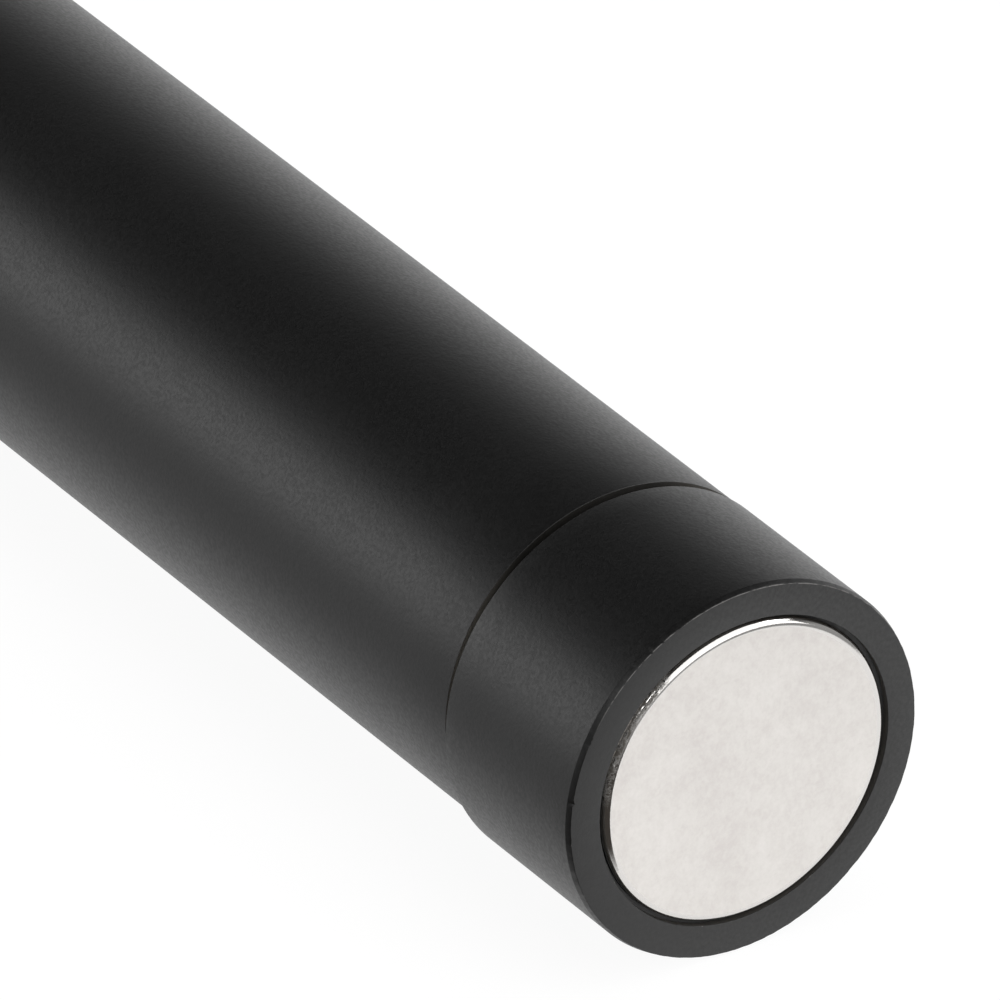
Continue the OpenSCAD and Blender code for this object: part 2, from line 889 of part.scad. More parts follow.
module lamp_bezel() {
    piece("#1c1d1f")
        turned([
            [bezel_bore_r, z_bezel_back],
            [bezel_spigot_r, z_bezel_back],
            [bezel_spigot_r, z_head],
            [body_r - seam_break, z_head],
            [body_r, z_head + seam_break],
            [body_r, z_front - bezel_bevel],
            [body_r - bezel_bevel, z_front],
            [window_d / 2 + lip_t / 2, z_front],
            [window_d / 2, z_front - lip_t / 2],
            [window_d / 2, z_lip],
            [bezel_bore_r, z_lip]
        ]);
}

tail_cap();
magnet();
tail_o_ring();
tail_spring();
barrel();
reservoir_plug();
reservoir_core();
reservoir_film();
grip_section();
grip_o_ring();
nib_holder();
nib();
cap_shell();
inner_cap();
pocket_clip();
lamp_carrier();
contact_strip();
cell_spring();
cell_rear();
cell_middle();
cell_front();
led_board();
uv_led();
button_switch();
switch_plunger();
lamp_button();
reflector();
lens_gasket();
lamp_lens();
lamp_bezel();
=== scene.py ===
import json
import math

import bmesh
import bpy
import numpy as np
from mathutils import Matrix, Vector, noise


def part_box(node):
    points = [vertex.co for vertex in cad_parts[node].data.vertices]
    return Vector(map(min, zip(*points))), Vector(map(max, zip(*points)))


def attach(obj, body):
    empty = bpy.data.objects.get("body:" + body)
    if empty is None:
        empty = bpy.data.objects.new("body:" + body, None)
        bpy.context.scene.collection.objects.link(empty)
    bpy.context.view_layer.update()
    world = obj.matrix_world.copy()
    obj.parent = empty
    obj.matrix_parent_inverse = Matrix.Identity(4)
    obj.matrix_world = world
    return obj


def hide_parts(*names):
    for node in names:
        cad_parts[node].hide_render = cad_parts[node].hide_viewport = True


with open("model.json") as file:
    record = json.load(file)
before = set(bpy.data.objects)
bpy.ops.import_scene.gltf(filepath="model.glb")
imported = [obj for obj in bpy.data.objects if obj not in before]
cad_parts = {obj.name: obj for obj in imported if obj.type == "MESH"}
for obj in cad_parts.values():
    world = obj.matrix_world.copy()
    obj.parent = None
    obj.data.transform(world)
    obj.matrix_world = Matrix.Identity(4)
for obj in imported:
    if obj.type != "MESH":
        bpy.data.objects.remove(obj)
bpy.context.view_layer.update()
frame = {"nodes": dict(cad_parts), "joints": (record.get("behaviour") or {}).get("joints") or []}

MM = 0.001
nodes = frame["nodes"]
scene = bpy.context.scene


def ends(node):
    """Stations of a solid's tail and front ends, in millimetres in front of the magnet's face."""
    low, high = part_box(node)
    return round(-high.x / MM, 2), round(-low.x / MM, 2)


# Stations along the pen, in millimetres, as the frame has them
MAGNET_T = ends("magnet")[1]
Z_RING, Z_SPIGOT = ends("tail_cap")
Z_BARREL, Z_BARREL_FRONT = ends("barrel")
Z_GRIP_BACK, Z_GRIP_FRONT = ends("grip_section")
Z_HOLDER_BACK, Z_HOLDER_TIP = ends("nib_holder")
Z_NIB_TAIL, Z_NIB_TIP = ends("nib")
Z_INNER_END = ends("inner_cap")[1]
Z_CELLS = ends("cell_rear")[0]
Z_LEADS = ends("uv_led")[0]
Z_REFLECTOR, Z_GASKET = ends("reflector")
Z_BEZEL_BACK, Z_FRONT = ends("lamp_bezel")
Z_LENS, Z_LIP = ends("lamp_lens")
Z_SHELL_FRONT = ends("cap_shell")[1]
Z_CLIP_TIP, Z_HEAD = ends("pocket_clip")

# Radii, walls and fits of the solids, in millimetres
BODY_R = 6.05
TAIL_STEP = 0.15
TAIL_R = BODY_R + TAIL_STEP
STOP_R = 5.85
MAGNET_R = 5.0
MAGNET_EDGE_R = 0.27
POCKET_CLEAR = 0.1
POCKET_R = MAGNET_R + POCKET_CLEAR
THREAD_R = 5.2
THREAD_CLEAR = 0.04
THREAD_BORE_R = THREAD_R + THREAD_CLEAR
BARREL_BORE_R = 4.8
SPRING_CUP_R = 3.4
CAP_WALL = 0.95
CAP_BORE_R = BODY_R - CAP_WALL
GRIP_CLEAR = 0.15
GRIP_R = CAP_BORE_R - GRIP_CLEAR
GRIP_BORE_R = 3.5
NOSE_R = 3.6
CONE_TIP_R = 2.3
NIB_R = 1.5
SLIP = 0.02
BEZEL_SPIGOT_R = CAP_BORE_R - THREAD_CLEAR
BEZEL_WALL = 0.56
BEZEL_BORE_R = BEZEL_SPIGOT_R - BEZEL_WALL
LENS_R = BEZEL_BORE_R - SLIP
WINDOW_R = 3.7
LED_R = 2.5
LED_FLANGE_R = 2.9
LED_CLEAR = 0.1
THROAT_R = LED_R + LED_CLEAR
LEAD_R = 0.25

# Lengths, pitches, breaks and grooves, in millimetres
PITCH = 0.75
THREAD_DEPTH = 0.42
THREAD_INSET = 0.15
SEAM_GAP = 0.3
SEAM_BREAK = 0.04
STOP_GAP = 0.05
END_BREAK = 0.06
END_BREAK_LEN = 0.2
SEAL_INSET = 0.8
SEAL_SECTION = 0.9
SEAL_CLEAR = 0.03
SEAL_ROOM = 0.12
SEAL_LEN = SEAL_SECTION + 2 * SEAL_ROOM
SEAL_FLOOR_R = THREAD_BORE_R - 2 * SEAL_CLEAR - SEAL_SECTION
GRIP_RING_FLOOR_R = CAP_BORE_R - 2 * SEAL_CLEAR - SEAL_SECTION
SPRING_CUP_DEPTH = 4.0
SPRING_REACH = 4.6
SPRING_GAP = 0.1
STRIP_T = 0.2
GRIP_COLLAR_LEN = 1.2
GRIP_RING_INSET = 2.0
GRIP_GROOVES = 6
GRIP_BEVEL = 0.4
GROOVE_W = 0.8
GROOVE_DEPTH = 0.2
HOLDER_FLANGE_T = 1.2
NOSE_LEN = 2.4
BEZEL_BEVEL = 0.5
WINDOW_BEVEL = 0.4
LED_FLANGE_T = 1.0
LED_LEN = 7.6
LEAD_PITCH = 2.54
CLIP_T = 0.6
CLIP_W = 4.2
CLIP_TIP_W = 3.2
CLIP_LEN = Z_HEAD - Z_CLIP_TIP
CLIP_RISE = 2.2
CLIP_BEND_R = 1.1
CLIP_TIP_R = 3.0
CLIP_TIP_ANGLE = math.radians(40)
CLIP_TIP_GAP = 0.1
CLIP_ROOT = 0.4
BUTTON_LEN = 5.6
BUTTON_W = 3.0
BUTTON_STAND = 0.5
BUTTON_TOP = BODY_R + BUTTON_STAND
TAB_LEN = 0.5
TAB_T = 0.5
TAB_GAP = 0.2
TAB_CLEAR = 0.08
TAB_TOP = round(math.sqrt(CAP_BORE_R**2 - (BUTTON_W / 2) ** 2) - TAB_CLEAR, 3)
TAB_BOTTOM = TAB_TOP - TAB_T
# Keeps faces of joined shells from lying in one plane
FACE_GAP = 0.004

# Stations that follow from these
Z_COLLAR = Z_BARREL - SEAM_GAP
Z_STOP = Z_BARREL - STOP_GAP
Z_SEAL = Z_COLLAR + SEAL_INSET
Z_CUP = Z_SPIGOT - SPRING_CUP_DEPTH
Z_TAIL_THREAD = Z_SPIGOT + PITCH
Z_PLUG = Z_SPIGOT + SPRING_REACH
Z_GRIP = Z_BARREL_FRONT + GRIP_COLLAR_LEN
Z_GRIP_RING = Z_GRIP + GRIP_RING_INSET
Z_NOSE = Z_GRIP_FRONT + HOLDER_FLANGE_T
Z_CONE = Z_NOSE + NOSE_LEN
Z_BUTTON = Z_REFLECTOR - TAB_GAP - TAB_LEN - BUTTON_LEN / 2
Z_LED = Z_REFLECTOR - LED_FLANGE_T
Z_DOME = Z_REFLECTOR + LED_LEN - LED_R
THREAD_FROM = Z_SEAL + SEAL_LEN + THREAD_INSET
THREAD_TO = Z_SPIGOT - PITCH / 2

# The pen lies rolled, so that the button presses along this joint's axis
press = next(joint for joint in frame["joints"] if joint["name"] == "lamp_press")["axis"]
ROLL = math.radians(round(math.degrees(math.atan2(-press[1], press[2])), 3))
# From a piece drawn upright, with the clip towards +x, to the pen as it lies
LAID = Matrix.Rotation(ROLL, 3, "X") @ Matrix.Rotation(-math.pi / 2, 3, "Y")

# Small unevenness and the bead of glue that the photograph shows, in millimetres
MAGNET_OFF = 0.045
POCKET_SLACK = 0.09
BARREL_OFF = 0.1065
BARREL_OFF_TURN = math.radians(48.2)
BARREL_SKEW = 0.085
BARREL_BREAK = 0.008
NICK_DEPTH = 0.22
GLUE_TOP = 0.3
GLUE_BOTTOM = 0.8
GLUE_RISE = 0.17


# Meshes


def fillet(corners, steps=4):
    """Half section of (station, radius) from corners of (station, radius, rounding), in mm."""
    points = [np.array(corner[:2], float) for corner in corners]
    out = []
    for i, (corner, (_, _, rounding)) in enumerate(zip(points, corners)):
        if rounding == 0:
            out.append(tuple(corner))
            continue
        back_way, on_way = points[i - 1] - corner, points[i + 1] - corner
        back_way, on_way = back_way / np.linalg.norm(back_way), on_way / np.linalg.norm(on_way)
        half = math.acos(max(-1.0, min(1.0, float(back_way @ on_way)))) / 2
        reach = rounding / math.tan(half)
        middle = back_way + on_way
        centre = corner + middle / np.linalg.norm(middle) * rounding / math.sin(half)
        start, end = corner + back_way * reach - centre, corner + on_way * reach - centre
        turn = math.copysign(math.pi - 2 * half, start[0] * end[1] - start[1] * end[0])
        for k in range(steps + 1):
            c, s = math.cos(turn * k / steps), math.sin(turn * k / steps)
            out.append(tuple(centre + (start[0] * c - start[1] * s, start[0] * s + start[1] * c)))
    return out


def quarter(z, r, length, height, step):
    """Quarter of an ellipse about (z, r) in a half section, from its highest point, every step degrees."""
    angles = [math.radians(a) for a in range(0, 91, step)]
    return [(z + length * math.sin(a), r + height * math.cos(a)) for a in angles]


def subdivide(points, longest):
    """Half section with its long steps cut up, so that no quad is much longer than it is wide."""
    out = [points[0]]
    for a, b in zip(points, points[1:]):
        n = max(1, math.ceil(math.dist(a, b) / longest))
        out += [tuple(np.array(a) + (np.array(b) - np.array(a)) * k / n) for k in range(1, n + 1)]
    return out


def make(name, shape, body, slot, material, *stands_for, sharp=30):
    """Piece from (points, faces) that rides on a body, smooth but for edges over sharp degrees."""
    verts, faces = shape
    mesh = bpy.data.meshes.new(name)
    mesh.from_pydata([tuple(v) for v in verts], [], faces)
    mesh.validate()
    outward(mesh)
    mesh.shade_smooth()
    mesh.set_sharp_from_angle(angle=math.radians(sharp))
    obj = bpy.data.objects.new(name, mesh)
    scene.collection.objects.link(obj)
    mesh.materials.append(material)
    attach(obj, body)
    if stands_for:
        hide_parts(*stands_for)


def outward(mesh):
    """Turns the faces of a closed mesh outwards."""
    solid = bmesh.new()
    solid.from_mesh(mesh)
    if solid.calc_volume(signed=True) < 0:
        mesh.flip_normals()
    solid.free()


def lathe(section, sides, shift=None):
    """Closed turned mesh from a half section of (station, radius) in mm; shift(station, radius, turn)
    gives the station and radius that a point moves to."""
    verts, rings, faces = [], [], []
    for z, r in section:
        if r < 1e-6:
            rings.append([len(verts)])
            verts.append((-z * MM, 0, 0))
            continue
        rings.append(range(len(verts), len(verts) + sides))
        for k in range(sides):
            turn = 2 * math.pi * k / sides
            station, radius = shift(z, r, turn) if shift else (z, r)
            verts.append((-station * MM, radius * MM * math.cos(turn), radius * MM * math.sin(turn)))
    pairs = list(zip(rings, rings[1:]))
    if len(rings[0]) > 1 and len(rings[-1]) > 1:
        pairs.append((rings[-1], rings[0]))
    for a, b in pairs:
        for k in range(sides):
            n = (k + 1) % sides
            if len(a) == 1:
                faces.append((a[0], b[n], b[k]))
            elif len(b) == 1:
                faces.append((a[k], a[n], b[0]))
            else:
                faces.append((a[k], a[n], b[n], b[k]))
    return verts, faces


def stack(rings):
    """Closed mesh from rings of equally many points, one after the other, with both ends closed."""
    n = len(rings[0])
    verts = [v for ring in rings for v in ring]
    faces = [tuple(range(n - 1, -1, -1)), tuple(range(len(verts) - n, len(verts)))]
    for i in range(len(rings) - 1):
        for k in range(n):
            m = (k + 1) % n
            faces.append((i * n + k, i * n + m, (i + 1) * n + m, (i + 1) * n + k))
    return verts, faces


def joined(*shells):
    """One closed mesh from closed meshes that overlap."""
    objects = []
    for verts, faces in shells:
        mesh = bpy.data.meshes.new("shell")
        mesh.from_pydata([tuple(v) for v in verts], [], faces)
        outward(mesh)
        objects.append(bpy.data.objects.new("shell", mesh))
        scene.collection.objects.link(objects[-1])
    for other in objects[1:]:
        union = objects[0].modifiers.new("union", "BOOLEAN")
        union.operation = "UNION"
        union.solver = "EXACT"
        union.object = other
    whole = bpy.data.meshes.new_from_object(objects[0].evaluated_get(bpy.context.evaluated_depsgraph_get()))
    verts, faces = [tuple(v.co) for v in whole.vertices], [tuple(f.vertices) for f in whole.polygons]
    for obj in objects:
        bpy.data.meshes.remove(obj.data)
    bpy.data.meshes.remove(whole)
    return verts, faces


def ragged(turn, scale, seed):
    """Smooth noise round the axis, from -1 to 1."""
    return noise.noise(Vector((math.cos(turn) * scale, math.sin(turn) * scale, seed)))


def lobe(turn, degrees, power=1):
    """1 on the side at so many degrees, falling to 0 a quarter turn away."""
    return max(0.0, math.cos(turn - math.radians(degrees))) ** power


def helix(mean_d, wire_d, start, end, curls, sides=14, per_curl=48):
    """Tube of a coil spring, lying along the pen and rolled with it, its ends cut square."""
    n = round(curls * per_curl)
    line = []
    for i in range(n + 1):
        a = 2 * math.pi * curls * i / n
        z = start + wire_d / 2 + (end - start - wire_d) * i / n
        line.append(Vector((mean_d / 2 * math.cos(a), mean_d / 2 * math.sin(a), z)))
    turns = [2 * math.pi * k / sides for k in range(sides)]
    rings = []
    for i, point in enumerate(line):
        along = (line[min(i + 1, n)] - line[max(i - 1, 0)]).normalized()
        side = along.cross(Vector((point.x, point.y, 0))).normalized()
        out = side.cross(along)
        ring = [point + wire_d / 2 * (math.cos(t) * out + math.sin(t) * side) for t in turns]
        rings.append([LAID @ (p * MM) for p in ring])
    return stack(rings)


# Colours of the finishes that the photograph shows, as linear red, green and blue

BLACK_DARK = (0.0041, 0.0041, 0.0041)
BLACK = (0.005, 0.005, 0.005)
BLACK_LIGHT = (0.0061, 0.0061, 0.006)
RING_DARK = (0.012, 0.012, 0.012)
RING_LIGHT = (0.023, 0.023, 0.0225)
BARE_EDGE = (0.2, 0.19, 0.18)
# Paler rubbed line on top of the ring's edge, which is also a painted highlight
RUBBED_EDGE_AND_HIGHLIGHT = (0.17, 0.165, 0.16)
# Pale colour painted on the floor and ends of the seam: painted light
PAINTED_SEAM_LIGHT = (0.15, 0.14, 0.124)
NICKEL_DARK = (0.653, 0.618, 0.598)
NICKEL = (0.697, 0.671, 0.643)
NICKEL_LIGHT = (0.735, 0.708, 0.682)
NICKEL_SIDE = (0.645, 0.628, 0.608)
# Painted shade on the magnet's side deep in the pocket
NICKEL_PAINTED_SHADE = (0.22, 0.2, 0.18)
# Dried glue on one side of the magnet's edge, dark enough to be painted shade there as well
NICKEL_GLUE_AND_SHADE = (0.11, 0.1, 0.087)
POCKET_GLUE = (0.055, 0.051, 0.046)
GLUE_DARK = (0.006, 0.006, 0.0055)
GLUE_LIGHT = (0.012, 0.0115, 0.011)
GLUE_GRIT = (0.2, 0.185, 0.165)


# Materials


class Finish:
    """A node material round one Principled shader, with short calls for the nodes it needs."""

    def __init__(self, name, **constants):
        self.material = bpy.data.materials.new(name)
        self.material.use_nodes = True
        self.tree = self.material.node_tree
        self.tree.nodes.clear()
        out = self.add("ShaderNodeOutputMaterial")
        self.shader = self.add("ShaderNodeBsdfPrincipled")
        self.tree.links.new(self.shader.outputs[0], out.inputs["Surface"])
        self.place = self.add("ShaderNodeTexCoord").outputs["Object"]
        for key, value in constants.items():
            self.shader.inputs[key.replace("_", " ")].default_value = value

    def add(self, kind, **settings):
        node = self.tree.nodes.new(kind)
        for key, value in settings.items():
            setattr(node, key, value)
        return node

    def feed(self, socket, value):
        if isinstance(value, bpy.types.NodeSocket):
            self.tree.links.new(value, socket)
        else:
            socket.default_value = value

    def math(self, operation, *values):
        node = self.add("ShaderNodeMath", operation=operation)
        for socket, value in zip(node.inputs, values):
            self.feed(socket, value)
        return node.outputs[0]

    def product(self, first, *others):
        for other in others:
            first = self.math("MULTIPLY", first, other)
        return first

    def weighted(self, *shares):
        """Sum of (value, weight) pairs."""
        total, *others = [self.math("MULTIPLY", value, weight) for value, weight in shares]
        for other in others:
            total = self.math("ADD", total, other)
        return total

    def noise(self, scale, detail=2.0, rough=0.5, at=None):
        node = self.add("ShaderNodeTexNoise")
        self.feed(node.inputs["Vector"], at or self.place)
        node.inputs["Scale"].default_value = scale
        node.inputs["Detail"].default_value = detail
        node.inputs["Roughness"].default_value = rough
        return node.outputs["Fac"]

    def stretch(self, x, y, z, shift=(0, 0, 0)):
        node = self.add("ShaderNodeMapping")
        self.feed(node.inputs["Vector"], self.place)
        node.inputs["Location"].default_value = shift
        node.inputs["Scale"].default_value = (x, y, z)
        return node.outputs["Vector"]

    def split(self, vector):
        node = self.add("ShaderNodeSeparateXYZ")
        self.feed(node.inputs[0], vector)
        return node.outputs

    def where(self):
        """Station, y, z and distance from the pen's axis, in millimetres."""
        station, y, z = self.split(self.stretch(-1 / MM, 1 / MM, 1 / MM))
        square = self.math("ADD", self.product(y, y), self.product(z, z))
        return station, y, z, self.math("SQRT", square)

    def span(self, value, low, high, to_low=0.0, to_high=1.0):
        """Smooth step of a value from low..high to to_low..to_high."""
        node = self.add("ShaderNodeMapRange", interpolation_type="SMOOTHSTEP")
        self.feed(node.inputs["Value"], value)
        for key, number in zip(("From Min", "From Max", "To Min", "To Max"), (low, high, to_low, to_high)):
            node.inputs[key].default_value = number
        return node.outputs[0]

    def near(self, value, centre, width):
        """1 at centre, falling to 0 at width from it."""
        away = self.math("ABSOLUTE", self.math("SUBTRACT", value, centre))
        return self.span(away, width, 0.0)

    def ramp(self, value, *stops):
        node = self.add("ShaderNodeValToRGB")
        self.feed(node.inputs[0], value)
        marks = node.color_ramp.elements
        while len(marks) < len(stops):
            marks.new(0.5)
        for mark, (at, colour) in zip(marks, stops):
            mark.position = at
            mark.color = (*colour, 1)
        return node.outputs[0]

    def mix(self, share, a, b):
        node = self.add("ShaderNodeMix", data_type="RGBA")
        self.feed(node.inputs[0], share)
        for socket, value in ((node.inputs[6], a), (node.inputs[7], b)):
            self.feed(socket, value if isinstance(value, bpy.types.NodeSocket) else (*value, 1))
        return node.outputs[2]

    def bump(self, height, strength, depth, under=None):
        node = self.add("ShaderNodeBump")
        self.feed(node.inputs["Height"], height)
        node.inputs["Strength"].default_value = strength
        node.inputs["Distance"].default_value = depth
        if under:
            self.feed(node.inputs["Normal"], under)
        return node.outputs[0]

    def colour(self, value):
        self.feed(self.shader.inputs["Base Color"], value)

    def rough(self, value):
        self.feed(self.shader.inputs["Roughness"], value)

    def normal(self, value):
        self.feed(self.shader.inputs["Normal"], value)


ANODISED_IOR = 1.5


def grained(f):
    """Grain of the anodising, in roughness and bump; gives its colour."""
    cloud = f.noise(420, detail=3)
    grain = f.noise(8800, detail=1, rough=0.55)
    pores = f.noise(11000, detail=2, rough=0.6)
    f.rough(f.span(f.weighted((cloud, 0.12), (grain, 0.88)), 0.3, 0.7, 0.365, 0.455))
    waves = f.bump(f.noise(3000, detail=2, rough=0.5), strength=0.8, depth=5e-6)
    f.normal(f.bump(grain, strength=1.0, depth=4.2e-6, under=waves))
    tone = f.weighted((cloud, 0.25), (pores, 0.75))
    return f.ramp(tone, (0.34, BLACK_DARK), (0.5, BLACK), (0.66, BLACK_LIGHT))


def painted_seam_light_share(f, y):
    """Share of light painted into the seam, most on one side and some on the other."""
    return f.math("ADD", f.span(y, -5.3, -3.2, 1.0, 0.14), f.span(y, 1.2, 4.2, 0.0, 0.6))


def anodised(name):
    """Bead-blasted black anodising: fine grain and faint cloudiness."""
    f = Finish(name, IOR=ANODISED_IOR)
    f.colour(grained(f))
    return f.material


def barrel_anodised(name):
    """The same finish on the barrel, with light painted on its end in the seam."""
    f = Finish(name, IOR=ANODISED_IOR)
    station, y, _, _ = f.where()
    facing, _, _ = f.split(f.place.node.outputs["Normal"])
    # Painted light on the barrel's end face inside the seam, most on one side
    end = f.product(
        f.span(facing, 0.75, 0.95),
        f.span(station, Z_BARREL + 0.4, Z_BARREL + 0.2),
        painted_seam_light_share(f, y),
    )
    f.colour(f.mix(end, grained(f), PAINTED_SEAM_LIGHT))
    return f.material


def tail_anodised(name):
    """The same finish on the tail cap, a little paler on its turned end, with bare metal showing through at
    the edges of the end ring, a film of glue in the magnet's pocket, light painted into the seam, and a
    rubbed line along the top of the ring's edge that is also a painted highlight."""
    f = Finish(name, IOR=ANODISED_IOR)
    station, y, z, r = f.where()
    colour = grained(f)
    end = f.product(f.span(station, Z_RING + 0.06, Z_RING + 0.03), f.span(y, -5.6, 0.5))
    pores = f.noise(9000, detail=2, rough=0.6)
    colour = f.mix(end, colour, f.ramp(pores, (0.34, RING_DARK), (0.66, RING_LIGHT)))
    pocket = f.product(
        f.span(station, Z_RING + 0.02, Z_RING + 0.05),
        f.span(station, MAGNET_T + 0.3, MAGNET_T + 0.1),
        f.span(r, POCKET_R + 0.25, POCKET_R + 0.2),
    )
    colour = f.mix(pocket, colour, POCKET_GLUE)
    # Painted light on the floor of the seam, most on one side
    seam = f.product(
        f.span(station, Z_COLLAR - 0.02, Z_COLLAR + 0.005),
        f.span(station, Z_STOP + 0.03, Z_STOP),
        painted_seam_light_share(f, y),
    )
    colour = f.mix(seam, colour, PAINTED_SEAM_LIGHT)
    flecks = f.noise(2600, detail=3, rough=0.65)
    for edge_r, width, reach, least, full in (
        (TAIL_R - END_BREAK, 0.03, 0.05, 0.6, 0.72),
        (POCKET_R, 0.04, 0.06, 0.62, 0.74),
    ):
        edge = f.product(f.near(r, edge_r, width), f.near(station, Z_RING, reach))
        colour = f.mix(f.product(edge, f.span(flecks, least, full)), colour, BARE_EDGE)
    # A paler rubbed line along the top of the ring's edge, also a painted highlight where light from above
    # catches it
    rub_and_highlight = f.product(
        f.near(r, TAIL_R - END_BREAK, 0.028),
        f.near(station, Z_RING, 0.03),
        f.span(z, 2.2, 4.6),
        f.span(flecks, 0.36, 0.56),
    )
    f.colour(f.mix(rub_and_highlight, colour, RUBBED_EDGE_AND_HIGHLIGHT))
    return f.material


def nickel(name, face_r):
    """Nickel plate: a satin face with faint smudges, and outside face_r, in mm, a polished rounded edge
    with a few specks of dried glue on one side, whose dark colour also paints shade there in place of a
    dark reflection, and painted shade on its side deeper in the pocket."""
    f = Finish(name)
    station, y, z, r = f.where()
    face = f.span(r, face_r - 0.02, face_r + 0.03, 1.0, 0.0)
    # The face lies at the origin, where all layers of the noise meet, so its noise is taken further off
    aside = f.stretch(1, 1, 1, shift=(0.0137, 0.0291, 0.0413))
    smudge = f.noise(1, detail=3, rough=0.6, at=f.stretch(380, 420, 360, shift=(5.3, 11.9, 14.7)))
    blotch = f.noise(820, detail=4, rough=0.6, at=aside)
    grit = f.noise(9000, detail=2, rough=0.6, at=aside)
    mottle = f.math("SUBTRACT", f.noise(3600, detail=3, rough=0.6, at=aside), 0.5)
    tone = f.weighted((smudge, 0.4), (blotch, 0.25), (grit, 0.35), (mottle, 0.45))
    plate = f.ramp(tone, (0.3, NICKEL_DARK), (0.5, NICKEL), (0.7, NICKEL_LIGHT))
    # Specks of dried glue on the −y side of the edge, whose dark colour also paints the dark reflection of
    # that side
    stain = f.product(
        f.span(f.noise(5200, detail=3, rough=0.65), 0.38, 0.58),
        f.span(y, -2.6, -3.1),
        f.span(z, 0.2, 1.4),
        f.span(r, face_r + 0.05, face_r + 0.13),
    )
    side = f.mix(stain, NICKEL_SIDE, NICKEL_GLUE_AND_SHADE)
    # Painted shade: the magnet's side darker deeper in the pocket
    side = f.mix(f.span(station, 0.3, 0.45), side, NICKEL_PAINTED_SHADE)
    f.colour(f.mix(face, side, plate))
    f.feed(f.shader.inputs["Metallic"], f.math("SUBTRACT", 1.0, stain))
    satin = f.product(face, f.span(tone, 0.35, 0.65, 0.3, 0.2))
    polished = 0.1
    f.rough(f.math("ADD", f.math("ADD", satin, polished), f.product(stain, 0.3)))
    f.normal(f.bump(f.weighted((grit, 1.0), (blotch, 0.6)), strength=0.6, depth=3e-6))
    return f.material


def dusty_glue(name):
    """Black glue, with grey grit stuck in it where it stands higher."""
    f = Finish(name)
    station, _, _, _ = f.where()
    texture = f.noise(3000, detail=3, rough=0.6)
    specks = f.span(f.noise(7000, detail=3, rough=0.65), 0.38, 0.62)
    grit = f.product(f.span(station, GLUE_TOP - 0.06, GLUE_TOP - 0.14), specks)
    black = f.ramp(texture, (0.3, GLUE_DARK), (0.7, GLUE_LIGHT))
    f.colour(f.mix(grit, black, GLUE_GRIT))
    f.rough(f.span(texture, 0.3, 0.7, 0.44, 0.58))
    f.normal(f.bump(texture, strength=0.2, depth=6e-6))
    return f.material


def moulded(name, dark, light, rough=0.5, grain=2600, depth=6e-6, **constants):
    """Moulded plastic or rubber: two close tones, a fine texture and an uneven gloss."""
    f = Finish(name, **constants)
    cloud = f.noise(330, detail=3)
    texture = f.noise(grain, detail=3, rough=0.6)
    f.colour(f.ramp(f.weighted((cloud, 0.7), (texture, 0.3)), (0.3, dark), (0.7, light)))
    f.rough(f.span(texture, 0.3, 0.7, rough - 0.06, rough + 0.08))
    f.normal(f.bump(texture, strength=0.2, depth=depth))
    return f.material


def metal(name, dark, light, rough=0.25, lines=(40, 2400, 2400), depth=3e-6):
    """Drawn, turned or rolled metal with fine lines; lines is the noise scale along x, y and z."""
    f = Finish(name, Metallic=1.0)
    streak = f.noise(1, detail=3, rough=0.6, at=f.stretch(*lines))
    cloud = f.noise(500, detail=3)
    f.colour(f.ramp(f.weighted((streak, 0.5), (cloud, 0.5)), (0.3, dark), (0.7, light)))
    f.rough(f.span(streak, 0.3, 0.7, rough - 0.07, rough + 0.09))
    f.normal(f.bump(streak, strength=0.12, depth=depth))
    return f.material


def fibre(name, dark, light):
    """Bundled fibre: strands along the pen, stained unevenly."""
    f = Finish(name)
    strand = f.noise(1, detail=3, rough=0.6, at=f.stretch(60, 5200, 5200))
    stain = f.noise(260, detail=4, rough=0.6)
    f.colour(f.ramp(f.weighted((strand, 0.55), (stain, 0.45)), (0.3, dark), (0.72, light)))
    f.rough(f.span(strand, 0.3, 0.7, 0.72, 0.92))
    f.normal(f.bump(strand, strength=0.5, depth=3e-5))
    return f.material


def clear(name, tint, rough, through, ior=1.49, alpha=1.0):
    """Clear plastic with faint moulding waves."""
    f = Finish(name, IOR=ior, Transmission_Weight=through, Alpha=alpha)
    wave = f.noise(240, detail=2)
    f.colour(f.ramp(wave, (0.3, tint), (0.7, tuple(min(1.0, c * 1.04) for c in tint))))
    f.rough(f.span(f.noise(1500, detail=3), 0.35, 0.7, rough, rough + 0.04))
    f.normal(f.bump(wave, strength=0.05, depth=4e-6))
    return f.material


body_black = anodised("body_black")
barrel_black = barrel_anodised("barrel_black")
tail_black = tail_anodised("tail_black")
magnet_nickel = nickel("magnet_nickel", face_r=MAGNET_R - MAGNET_EDGE_R)
glue = dusty_glue("glue")
spring_steel = metal(
    "spring_steel", (0.5, 0.5, 0.51), (0.66, 0.66, 0.67), rough=0.24, lines=(1900, 1900, 1900)
)
black_plastic = moulded("black_plastic", (0.022, 0.022, 0.023), (0.034, 0.034, 0.036), rough=0.45)
nib_fibre = fibre("nib_fibre", (0.4, 0.2, 0.045), (0.72, 0.5, 0.18))
clip_coat = moulded(
    "clip_coat",
    (0.011, 0.011, 0.0115),
    (0.0155, 0.0155, 0.016),
    rough=0.34,
    grain=6500,
    depth=2e-6,
    IOR=1.5,
)
button_rubber = moulded(
    "button_rubber", (0.026, 0.0265, 0.028), (0.038, 0.0385, 0.041), rough=0.55, grain=5200
)
lens_clear = clear("lens_clear", (0.05, 0.052, 0.06), rough=0.02, through=0.0, ior=2.2, alpha=0.14)
mirror = metal(
    "mirror", (0.83, 0.84, 0.85), (0.9, 0.905, 0.91), rough=0.1, lines=(300, 300, 300), depth=1e-6
)
led_clear = clear("led_clear", (0.8, 0.77, 0.93), rough=0.08, through=0.35, ior=1.53)
